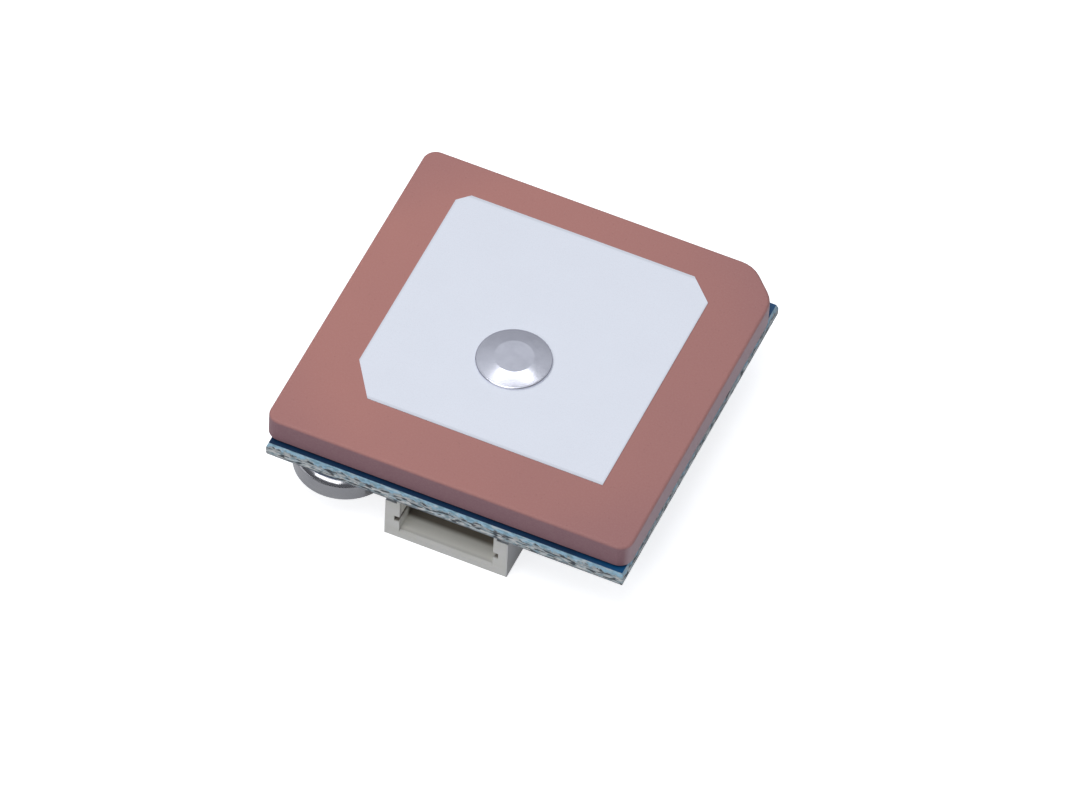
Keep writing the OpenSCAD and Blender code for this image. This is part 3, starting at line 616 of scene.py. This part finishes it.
class MODULE_OT_cell(bpy.types.Operator):
    """Dresses the coin cell: drawn steel can and cap, and the ring between them"""
    bl_idname = "module.cell"
    bl_label = "Dress coin cell"

    CLOUD = (0.4, 0.4, 0.41)
    SCRATCH = (0.7, 0.7, 0.7)
    RING_GRAIN = (0.03, 0.03, 0.033)
    COLUMNS = 96
    # Tilt of the shoulder in degrees, at shares of the way over it
    SHARES = (0, 0.08, 0.38, 0.66, 1)
    TILTS = (0, 26, 38, 50, 86)

    def execute(self, context):
        look = context.scene.module_cell
        steel = Finish.named("plated_steel")
        axis = middle("cell_can")
        profile, wall_top, lip = self.profile(look.base_edge / MM)
        radius = steel.radius(axis)
        drawn = steel.noise(0.04, 2, steel.vector(radius * 1.5, steel.z * 0.4, 0.0))
        scratches = steel.noise(0.12, 3, steel.vector(steel.x * 0.25, steel.y, steel.z * 1.5))
        cloud = steel.noise(1.1, 2)
        metal = steel.mix(cloud.rise(0.3, 0.8) * 0.35, look.steel, self.CLOUD)
        metal = steel.mix(scratches.rise(0.66, 0.8) * 0.3, metal, self.SCRATCH)
        # Painted highlight: the crimped shoulder, between the wall's top and the ring, turns almost to the
        # light steel and smoother
        shoulder_highlight_mask = radius.rise(lip - 0.06, lip) * steel.z.rise(wall_top + 0.05, wall_top + 0.12)
        metal = steel.mix(shoulder_highlight_mask * 0.9, metal, look.shoulder_highlight)
        relief = steel.bump(drawn * 0.7 + scratches * 0.3, 0.005)
        rough = (0.16 + cloud * 0.1) * (1 - shoulder_highlight_mask * 0.4)
        steel.surface(Base_Color=metal, Metallic=1.0, Roughness=rough, Normal=relief)
        steel.wear("cell_cap")
        can = shells("turned_can", turned(axis[:2], *profile, self.COLUMNS), steel)
        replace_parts(can, "cell_can")

        ring = Finish.toned(
            "seal_polymer", (look.ring, self.RING_GRAIN), size=0.08, rough=(0.5, 0.2), depth=0.01,
            step=(0.3, 0.8), share=0.5)
        ring.wear("cell_seal")
        return {"FINISHED"}

    def profile(self, edge):
        """Radii and heights of the can, its wall's top and its lip's radius. The base's edge is a quarter
        circle. Over the shoulder the tilt grows quickly to 26 degrees, slowly to 50 and quickly to 86, and
        running sums of its sine and cosine, scaled to end on the ring, give the way in and the way up."""
        low, high = extent("cell_can")
        ring_low, ring_high = extent("cell_seal")
        wide, lip = (high - low)[0] / 2, (ring_high - ring_low)[0] / 2
        turn = np.linspace(0, np.pi / 2, 7)
        foot = np.stack([wide - edge + edge * np.sin(turn), low[2] + edge - edge * np.cos(turn)], axis=1)
        way = np.linspace(0, 1, 33)
        tilt = np.radians(np.interp((way[1:] + way[:-1]) / 2, self.SHARES, self.TILTS))
        moves = np.stack([-np.sin(tilt), np.cos(tilt)], axis=1) * (wide - lip) / np.sin(tilt).sum()
        wall_top = high[2] - moves[:, 1].sum()
        shoulder = np.concatenate([np.zeros((1, 2)), moves.cumsum(0)]) + [wide, wall_top]
        profile = np.concatenate([foot, shoulder, [[lip, ring_low[2]]]])
        return profile.T, wall_top, lip


class MODULE_OT_circuit(bpy.types.Operator):
    """Dresses the chips, filters, lights and small parts on the underside"""
    bl_idname = "module.circuit"
    bl_label = "Dress circuit"

    FILLER = (0.05, 0.05, 0.054)
    DULL_LID = (0.5, 0.5, 0.5)

    def execute(self, context):
        look = context.scene.module_circuit
        resin = Finish.named("chip_resin")
        filler = resin.noise(0.05, 2)
        cloud = resin.noise(0.9, 2)
        black = resin.mix(filler.rise(0.5, 0.8) * 0.3 + cloud * 0.15, look.resin, self.FILLER)
        resin.surface(Base_Color=black, Roughness=0.48 + filler * 0.2, Normal=resin.bump(filler, 0.008))
        resin.wear("receiver_chip", "memory_chip", "amplifier_chip", "regulator_body")

        lid = Finish.toned(
            "plated_lid", (look.lid, self.DULL_LID), size=0.05, rough=(0.24, 0.2), depth=0.004,
            stretch=(0.2, 2.0), cloud=0.8, Metallic=1.0)
        lid.wear("oscillator_lid", "crystal_lid")

        self.fired("dark_ceramic", look.base, 0.1, 0.62).wear("oscillator_base", "crystal_base")
        self.fired("pale_ceramic", look.filter, 0.1, 0.55).wear("saw_filter")
        self.fired("capacitor_ceramic", look.capacitor, 0.09, 0.42).wear("capacitor_bodies")
        self.fired("resistor_glaze", look.resistor, 0.14, 0.28).wear("resistor_bodies")
        self.fired("inductor_ceramic", look.inductor, 0.1, 0.4).wear("inductor_bodies")
        self.fired("light_laminate", look.light_base, 0.12, 0.5).wear("light_bases")
        return {"FINISHED"}

    @staticmethod
    def fired(name, colour, grain_size, rough):
        """A fired or glazed body: fine grain and slow clouds of a darker tone."""
        body = Finish.named(name)
        grain = body.noise(grain_size, 3)
        cloud = body.noise(grain_size * 6, 2)
        dark = tuple(part * 0.62 for part in colour)
        tone = body.mix(grain.rise(0.4, 0.75) * 0.35 + cloud * 0.25, tuple(colour), dark)
        body.surface(Base_Color=tone, Roughness=rough + grain * 0.15, Normal=body.bump(grain, 0.008))
        return body


class MODULE_OT_underside(bpy.types.Operator):
    """Makes the pads, traces, vias, printed corners and smooth solder of the board's underside"""
    bl_idname = "module.underside"
    bl_label = "Make underside"

    ENDED = ("capacitor", "resistor", "inductor")
    LEADED = ("receiver", "memory", "amplifier")
    FEET = ("contact_solder", "tab_solder", "strip_solder")
    MARKED = ("receiver_chip", "memory_chip", "amplifier_chip", "oscillator_base", "crystal_base",
              "regulator_body")
    STANDING = (*MARKED, "saw_filter", "light_bases", "connector_housing", "cell_can", "feed_solder")

    FROST = (0.36, 0.37, 0.39)
    DULL_GOLD = (0.5, 0.38, 0.16)
    HAZE = (0.84, 0.72, 0.38)
    GAP_WEAVE = (0.004, 0.03, 0.07)
    TRACE_GRAIN = (0.0, 0.07, 0.2)
    WORN_PRINT = (0.3, 0.36, 0.42)
    # The hole's near black is painted shade
    RING, RING_DUST, HOLE = (0.62, 0.62, 0.6), (0.4, 0.36, 0.26), (0.01, 0.012, 0.015)

    # Lengths in millimetres
    BEVEL, CLIMB, SPREAD = 0.05, 0.26, 0.06
    MOUND_CORNER, PAD_CORNER, LENS_CORNER, LENS_EDGE = 0.14, 0.09, 0.12, 0.17
    SUNK, GAP_RISE, PRINT_RISE = 0.01, 0.004, 0.012
    NEAREST, FARTHEST, SHORT_RUN = 1.1, 8.5, 0.06
    RIM_CLEAR, FEED_CLEAR, PAD_CLEAR, PATH_CLEAR = 0.5, 1.35, 0.38, 0.34
    RIM_INSET, GRID_INSET, VIA_CLEAR, VIA_PATH_CLEAR = 0.55, 1.75, 0.3, 0.42
    MARK_OFF, MARK_LINE, MARK_RIM, MARK_CLEAR = 0.34, 0.5, 0.2, 0.1

    def execute(self, context):
        look = context.scene.module_underside
        circuit, header = context.scene.module_circuit, context.scene.module_header
        self.face = extent("circuit_board")[0, 2]
        self.toe, self.flare = look.toe / MM, look.flare / MM
        pairs = [(kind + "_ends", kind + "_bodies") for kind in self.ENDED]
        pairs += [(kind + "_leads", kind + "_chip") for kind in self.LEADED]
        soldered = [ends for ends, _ in pairs]
        solder = self.solder(circuit)
        joints = np.concatenate([self.fillets(solids(ends), solids(bodies)) for ends, bodies in pairs])
        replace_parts(shells("solder_fillets", joints, solder), *soldered)
        plated = Finish.toned(
            "gold_plating", (header.contact, self.DULL_GOLD), size=0.3, rough=(0.22, 0.16), depth=0.004,
            Metallic=1.0)
        lamp_ends = self.fillets(solids("light_ends"), solids("light_bases"))
        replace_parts(shells("light_end_caps", lamp_ends, plated), "light_ends")
        mounds = np.concatenate([self.mounds(*solids(node)) for node in self.FEET])
        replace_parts(shells("solder_mounds", mounds, solder), *self.FEET)
        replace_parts(shells("feed_joint", self.joint(look.shank / MM / 2), solder), "feed_solder")
        resin = Finish.toned(
            "lens_resin", (circuit.lens, self.HAZE), size=0.3, rough=(0.1, 0.08), depth=0.006,
            step=(0.3, 0.8), Transmission_Weight=0.35, IOR=1.5)
        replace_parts(shells("light_domes", self.lenses(), resin), "light_lenses")

        low, high = gathered((*soldered, "light_ends", "regulator_leads", *self.FEET))
        self.pads(look, low, high, solder)
        routes = self.routes((low + high)[:, :2] / 2)
        self.copper(look, routes)
        self.vias(look, low, high, routes)
        self.prints(look, low, high)
        return {"FINISHED"}

    def solder(self, colours):
        """Bright solder with frosted patches and a slow ripple."""
        solder = Finish.named("bright_solder")
        frost = solder.noise(0.12, 3)
        ripple = solder.noise(0.4, 1)
        metal = solder.mix(frost.rise(0.4, 0.75) * 0.4, colours.solder, self.FROST)
        relief = solder.bump(ripple + frost, 0.006)
        solder.surface(Base_Color=metal, Metallic=1.0, Roughness=0.2 + frost * 0.2, Normal=relief)
        return solder

    def fillets(self, ends, bodies):
        """Ends of small parts with their solder. In a section along the part the solder's height falls from
        the end face to the toe as the square of what is left of the way, and the end's upper edge is
        bevelled. Sections repeat across the end, the outermost drawn in, and spread towards the board."""
        low, high = ends
        size = high - low
        middles = (bodies[0] + bodies[1])[:, :2] / 2
        halves = (bodies[1] - bodies[0])[:, :2] / 2
        centre = (low + high)[:, :2] / 2
        nearest = np.linalg.norm(centre[:, None] - middles, axis=2).argmin(1)
        off = centre - middles[nearest]
        axis = np.eye(2)[np.abs(off / halves[nearest]).argmax(1)]
        out = np.sign(off) * axis
        length = (size[:, :2] * axis).sum(1)
        width = (size[:, :2] * (1 - axis)).sum(1)
        tall = size[:, 2]
        climb = np.minimum(self.CLIMB, tall - self.BEVEL)
        way = np.linspace(1, 0, 5)
        zero = np.zeros_like(length)
        inner = self.toe - length
        along = [*[self.toe * step + zero for step in way], zero, zero - self.BEVEL, inner, inner]
        up = [*[climb * (1 - step) ** 2 for step in way], tall - self.BEVEL, tall, tall, zero]
        along, up = np.stack(along, axis=1), np.stack(up, axis=1)
        across = np.array([-1, -0.84, 0, 0.84, 1])
        drawn = np.array([self.BEVEL, 0, 0, 0, self.BEVEL])
        reach = along[:, None] - drawn[:, None]
        height = up[:, None] * (1 - drawn[:, None] / tall[:, None, None])
        spread = self.SPREAD * np.clip(1 - up / climb[:, None], 0, 1) ** 2
        side = across[:, None] * (width[:, None] / 2 + spread)[:, None]
        face = centre + out * (length / 2 - self.toe)[:, None]
        flat = np.stack([out[:, 1], -out[:, 0]], axis=1)
        plan = face[:, None, None] + reach[..., None] * out[:, None, None]
        plan = plan + side[..., None] * flat[:, None, None]
        return np.concatenate([plan, self.face - height[..., None]], axis=-1)

    def mounds(self, low, high):
        """Solder round feet: rounded outlines that draw in evenly while the height grows as the square."""
        tall = (high - low)[:, 2].max()
        steps = np.linspace(0, 1, 5)
        return tiers(low, high, self.MOUND_CORNER, self.flare * steps, self.face - tall * steps ** 2)

    def joint(self, shank):
        """Solder round the feed pin: a turned cone whose radius shrinks to a little over the shank's, as
        what is left of the height to the power of 2.4."""
        low, high = extent("feed_solder")
        centre = (low + high)[:2] / 2
        wide = (high - low)[0] / 2
        neck = shank + 0.02
        rise = np.linspace(0, 1, 9)
        radius = neck + (wide - neck) * (1 - rise) ** 2.4
        return turned(centre, radius, self.face - (high - low)[2] * rise, 40)

    def lenses(self):
        """Lenses of the indicator lights: upright sides, and a top whose outline draws in along a quarter
        circle."""
        low, high = solids("light_lenses")
        tall = (high - low)[0, 2]
        base = high[0, 2]
        turn = np.radians([0, 22, 45, 68, 90])
        insets = [0.0, *(self.LENS_EDGE * (1 - np.cos(turn)) * 0.9)]
        heights = [base, *(base - tall + self.LENS_EDGE - self.LENS_EDGE * np.sin(turn))]
        return tiers(low, high, self.LENS_CORNER, insets, heights)

    def pads(self, look, low, high, finish):
        """Copper pads a little wider than the solder on them, with a bevelled rim."""
        margin, copper = look.pad_margin / MM, look.copper / MM
        insets = np.array([0.0, 0.0, 0.012]) - margin
        heights = self.face - copper * np.array([0.0, 0.6, 1.0])
        loops = tiers(low, high, self.PAD_CORNER, insets, heights)
        shells("pads", loops, finish)

    def routes(self, places):
        """Plan paths between neighbouring pads: a straight run, a diagonal and a straight run. The shortest
        come first, and a path is kept if it clears every other pad, the feed joint, the board's rim and the
        paths before it. Gives four points a path."""
        first, second = np.triu_indices(len(places), 1)
        way = places[second] - places[first]
        far = np.linalg.norm(way, axis=1)
        near = (far > self.NEAREST) & (far < self.FARTHEST)
        order = np.flatnonzero(near)[far[near].argsort()]
        first, second, way = first[order], second[order], way[order]
        size = np.abs(way)
        less = size.min(1, keepdims=True)
        main = np.sign(way) * (size == size.max(1, keepdims=True))
        lead = main * (size.max(1, keepdims=True) - less) / 2
        bend = np.sign(way) * less
        plain = (less[:, 0] < self.SHORT_RUN) | (np.abs(lead).max(1) < self.SHORT_RUN)
        start = places[first]
        one = np.where(plain[:, None], start + way * 0.3, start + lead)
        two = np.where(plain[:, None], start + way * 0.7, start + lead + bend)
        paths = np.stack([start, one, two, places[second]], axis=1)
        dots = dotted(paths, 9)
        low, high = extent("circuit_board")[:, :2]
        inside = ((dots > low + self.RIM_CLEAR) & (dots < high - self.RIM_CLEAR)).all((1, 2))
        inside &= (np.linalg.norm(dots - middle("feed_solder")[:2], axis=2) > self.FEED_CLEAR).all(1)
        kept, used, taken = [], np.empty((0, 2)), set()
        for path, trail, a, b in zip(paths[inside], dots[inside], first[inside], second[inside]):
            others = np.delete(places, [a, b], axis=0)
            clear = np.linalg.norm(trail[:, None] - others, axis=2).min() > self.PAD_CLEAR
            if len(used):
                clear &= np.linalg.norm(trail[:, None] - used, axis=2).min() > self.PATH_CLEAR
            if clear and not {a, b} & taken:
                kept.append(path)
                used = np.concatenate([used, trail])
                taken |= {a, b}
        return np.array(kept)

    def copper(self, look, routes):
        """Traces between pads, and the bare laminate on either side of them, all under lacquer."""
        sunk = self.face + self.SUNK
        gap = Finish.toned(
            "gap_lacquer", (look.gap_lacquer, self.GAP_WEAVE), size=0.2, rough=(0.34, 0.1), depth=0.006,
            detail=1, step=(0.3, 0.8))
        strip = ribbons(routes, (look.trace + 2 * look.gap) / MM, sunk, self.face - self.GAP_RISE)
        shells("trace_gaps", strip, gap)
        trace = Finish.toned(
            "trace_lacquer", (look.trace_lacquer, self.TRACE_GRAIN), size=0.15, rough=(0.3, 0.1),
            depth=0.005, step=(0.35, 0.75))
        strip = ribbons(routes, look.trace / MM, sunk, self.face - 0.8 * look.copper / MM)
        shells("traces", strip, trace)

    def vias(self, look, low, high, routes):
        """Plated holes on a grid and along the rim, where nothing else stands: a ring round a shallow hole
        whose floor is painted near black, as painted shade of a deep hole.
        """
        board_low, board_high = extent("circuit_board")[:, :2]
        side = (board_high - board_low)[0]
        rim = np.linspace(self.RIM_INSET, side - self.RIM_INSET, 17)
        edge = rim[[0, -1]]
        grid = np.linspace(self.GRID_INSET, side - self.GRID_INSET, 9)
        spots = [np.stack(np.meshgrid(a, b), axis=-1).reshape(-1, 2)
                 for a, b in ((rim, edge), (edge, rim), (grid, grid))]
        spots = np.unique(np.concatenate(spots).round(4), axis=0) + board_low
        lows, highs = gathered((*[kind + "_bodies" for kind in self.ENDED], *self.STANDING))
        lows, highs = np.concatenate([low, lows])[:, :2], np.concatenate([high, highs])[:, :2]
        away = np.maximum(lows - spots[:, None], spots[:, None] - highs).max(2).min(1)
        off = np.linalg.norm(spots[:, None] - dotted(routes, 12).reshape(-1, 2), axis=2).min(1)
        spots = spots[(away > self.VIA_CLEAR) & (off > self.VIA_PATH_CLEAR)]
        outer, inner = look.via / MM / 2, look.hole / MM / 2
        rows = [(outer, -self.SUNK), (outer * 0.96, 0.014), (inner * 1.15, 0.02), (inner, 0.003)]
        ring = circle(14)
        loops = np.stack([lifted(spots[:, None] + ring * r, self.face - h) for r, h in rows], axis=1)
        plated = Finish.named("plated_holes")
        # Painted shade: the shallow hole's floor turns near black, for the shade deep in a through hole
        dark = (self.face - plated.z).rise(0.012, 0.006)
        dust = plated.noise(0.1, 2)
        tone = plated.mix(dust.rise(0.4, 0.8) * 0.5, self.RING, self.RING_DUST)
        tone = plated.mix(dark, tone, self.HOLE)
        relief = plated.bump(dust, 0.004)
        plated.surface(Base_Color=tone, Metallic=1 - dark, Roughness=0.26 + dust * 0.2, Normal=relief)
        shells("vias", loops, plated)

    def prints(self, look, pad_low, pad_high):
        """Printed corners round the larger parts: two short lines that meet outside each corner, left out
        where they would run over a pad."""
        low, high = gathered(self.MARKED)
        centre, reach = (low + high)[:, :2] / 2, (high - low)[:, :2] / 2 + self.MARK_OFF
        corner = (centre[:, None] + CORNERS * reach[:, None]).reshape(-1, 2)
        back = np.tile(CORNERS, (len(low), 1)) * -self.MARK_LINE
        paths = np.stack([corner + back * [1, 0], corner, corner + back * [0, 1]], axis=1)
        board_low, board_high = extent("circuit_board")[:, :2]
        inside = (paths > board_low + self.MARK_RIM) & (paths < board_high - self.MARK_RIM)
        paths = paths[inside.all((1, 2))]
        dots = dotted(paths, 6)[:, :, None]
        over = np.maximum(pad_low[:, :2] - dots, dots - pad_high[:, :2]).max(3)
        paths = paths[(over > self.MARK_CLEAR).all((1, 2))]
        ink = Finish.toned(
            "white_print", (look.print_white, self.WORN_PRINT), size=0.08, rough=(0.6, 0.2), depth=0.006,
            detail=3, step=(0.5, 0.75), share=0.35)
        strip = ribbons(paths, look.line / MM, self.face + self.SUNK, self.face - self.PRINT_RISE)
        shells("printed_corners", strip, ink)


class MODULE_OT_stage(bpy.types.Operator):
    """Makes the floor, the lamps, the studio sky and the camera"""
    bl_idname = "module.stage"
    bl_label = "Set the stage"

    # Metres: half the floor's side, its distance under the object, and each lamp's place and size
    FLOOR_REACH, FLOOR_GAP = 3.0, 0.02 * MM
    LAMPS = {
        "roof": ((-0.06, -0.09, 0.43), (0.3, 0.2)),
        "top": ((-0.0645, 0.1622, 0.4), (0.17, 0.045)),
        "front": ((-0.0747, -0.3515, 0.2708), (0.38, 0.14)),
        "under": ((0.0, -0.04, -0.3), (0.3, 0.3)),
    }
    SPECK = (0.5, 0.5, 0.5)
    WHITE = (1.0, 1.0, 1.0)
    # The photograph's camera: place in metres, two axes, focal length and width in pixels, sensor in mm
    EYE_PLACE = (0.12021, -0.30126, 0.39270)
    EYE_RIGHT, EYE_BACK = (0.9122, 0.4082, 0.0354), (0.2356, -0.5932, 0.7698)
    FOCAL, WIDTH, SENSOR, CLIP = 11102.4, 1069, 36, 0.01

    def execute(self, context):
        scene = context.scene
        look = scene.module_stage
        floor = bpy.data.meshes.new("studio_floor")
        corners = lifted(CORNERS * self.FLOOR_REACH, CAD_BOX[0][2] - self.FLOOR_GAP)
        floor.from_pydata(corners.tolist(), [], [(0, 1, 2, 3)])
        ground = bpy.data.objects.new("studio_floor", floor)
        scene.collection.objects.link(ground)
        floor.materials.append(self.floor_finish(look))

        for name, (place, size) in self.LAMPS.items():
            self.lamp(scene, name + "_lamp", place, size, getattr(look, name + "_power"))
        self.sky(scene, look)
        self.camera(scene)
        scene.view_settings.view_transform = "Standard"
        return {"FINISHED"}

    @staticmethod
    def lamp(scene, name, place, size, power):
        """An area lamp that faces the object."""
        light = bpy.data.lights.new(name, "AREA")
        light.shape = "RECTANGLE"
        light.energy = power
        light.size, light.size_y = size
        hung = bpy.data.objects.new(name, light)
        hung.location = place
        hung.rotation_mode = "QUATERNION"
        hung.rotation_quaternion = hung.location.to_track_quat("Z", "Y")
        hung.visible_camera = False
        scene.collection.objects.link(hung)

    def floor_finish(self, look):
        """Grey floor that keeps its shadows: white is added for what looks at it, and it lets the view from
        below and the lamp from below through."""
        floor = Finish.named("pale_floor")
        rays = ("Camera", "Glossy", "Transmission", "Shadow")
        seen, mirrored, through, shadow = (floor.node("LightPath", out="Is %s Ray" % ray) for ray in rays)
        tone = floor.mix(floor.noise(4.0, 2) * 0.05, look.floor, self.SPECK)
        matt = floor.node("BsdfDiffuse", {}, {"Color": tone})
        white = floor.node("Emission", {}, {"Color": self.WHITE, "Strength": look.floor_white})
        bright = floor.node("AddShader", {}, {0: matt, 1: white})
        share = seen.top(through).top(mirrored * look.floor_mirror)
        lit = floor.node("MixShader", {}, {0: share, 1: matt, 2: bright})
        below = floor.node("NewGeometry", out="Backfacing")
        clear = floor.node("BsdfTransparent")
        both = floor.node("MixShader", {}, {0: below.top(shadow), 1: lit, 2: clear})
        floor.node("OutputMaterial", {}, {"Surface": both})
        return floor.material

    @staticmethod
    def sky(scene, look):
        """Studio round the object: walls with a dark foot, brighter on the left, and a pale ceiling."""
        scene.world = bpy.data.worlds.new("studio")
        scene.world.use_nodes = True
        sky = Finish(scene.world.node_tree)
        right, front, up = sky.parts(sky.node("TexCoord", out="Generated"))
        foot = up - front.rise(0.0, -0.7) * 0.4
        tone = sky.mix(foot.rise(0.05, 0.35), look.horizon, look.wall)
        tone = sky.mix(up.rise(0.35, 1.0), tone, look.sky)
        tone = sky.mix(right.rise(-0.3, 0.9) * 0.6, tone, look.horizon)
        light = sky.node("Background", {}, {"Color": tone, "Strength": 1.0})
        sky.node("OutputWorld", {}, {"Surface": light})

    def camera(self, scene):
        """The photograph's view, solved from the block's edges: place, axes and focal length."""
        back = Vector(self.EYE_BACK).normalized()
        up = back.cross(Vector(self.EYE_RIGHT)).normalized()
        turn = Matrix((up.cross(back), up, back)).transposed().to_4x4()
        eye = bpy.data.cameras.new("photo_view")
        eye.sensor_width = self.SENSOR
        eye.lens = self.SENSOR * self.FOCAL / self.WIDTH
        eye.clip_start = self.CLIP
        stand = bpy.data.objects.new("photo_view", eye)
        stand.matrix_world = Matrix.Translation(self.EYE_PLACE) @ turn
        scene.collection.objects.link(stand)
        scene.camera = stand


class MODULE_PT_looks(bpy.types.Panel):
    """Sidebar panel with every operator and its settings"""
    bl_label = "Module looks"
    bl_space_type = "VIEW_3D"
    bl_region_type = "UI"
    bl_category = "Module"

    def draw(self, context):
        for operator, name, _ in STEPS:
            box = self.layout.box()
            box.operator(operator.bl_idname)
            settings = getattr(context.scene, name)
            for setting in settings.__annotations__:
                box.prop(settings, setting)


STEPS = (
    (MODULE_OT_antenna, "module_antenna", AntennaSettings),
    (MODULE_OT_board, "module_board", BoardSettings),
    (MODULE_OT_header, "module_header", HeaderSettings),
    (MODULE_OT_cell, "module_cell", CellSettings),
    (MODULE_OT_circuit, "module_circuit", CircuitSettings),
    (MODULE_OT_underside, "module_underside", UndersideSettings),
    (MODULE_OT_stage, "module_stage", StageSettings),
)
CLASSES = (*(group for _, _, group in STEPS), *(operator for operator, _, _ in STEPS), MODULE_PT_looks)


def register():
    for cls in CLASSES:
        bpy.utils.register_class(cls)
    for _, name, group in STEPS:
        setattr(bpy.types.Scene, name, bpy.props.PointerProperty(type=group))


def unregister():
    for _, name, _ in STEPS:
        delattr(bpy.types.Scene, name)
    for cls in reversed(CLASSES):
        bpy.utils.unregister_class(cls)


def main():
    """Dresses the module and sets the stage."""
    register()
    bpy.ops.module.antenna()
    bpy.ops.module.board()
    bpy.ops.module.header()
    bpy.ops.module.cell()
    bpy.ops.module.circuit()
    bpy.ops.module.underside()
    bpy.ops.module.stage()
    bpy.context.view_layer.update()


if __name__ == "__main__":
    main()
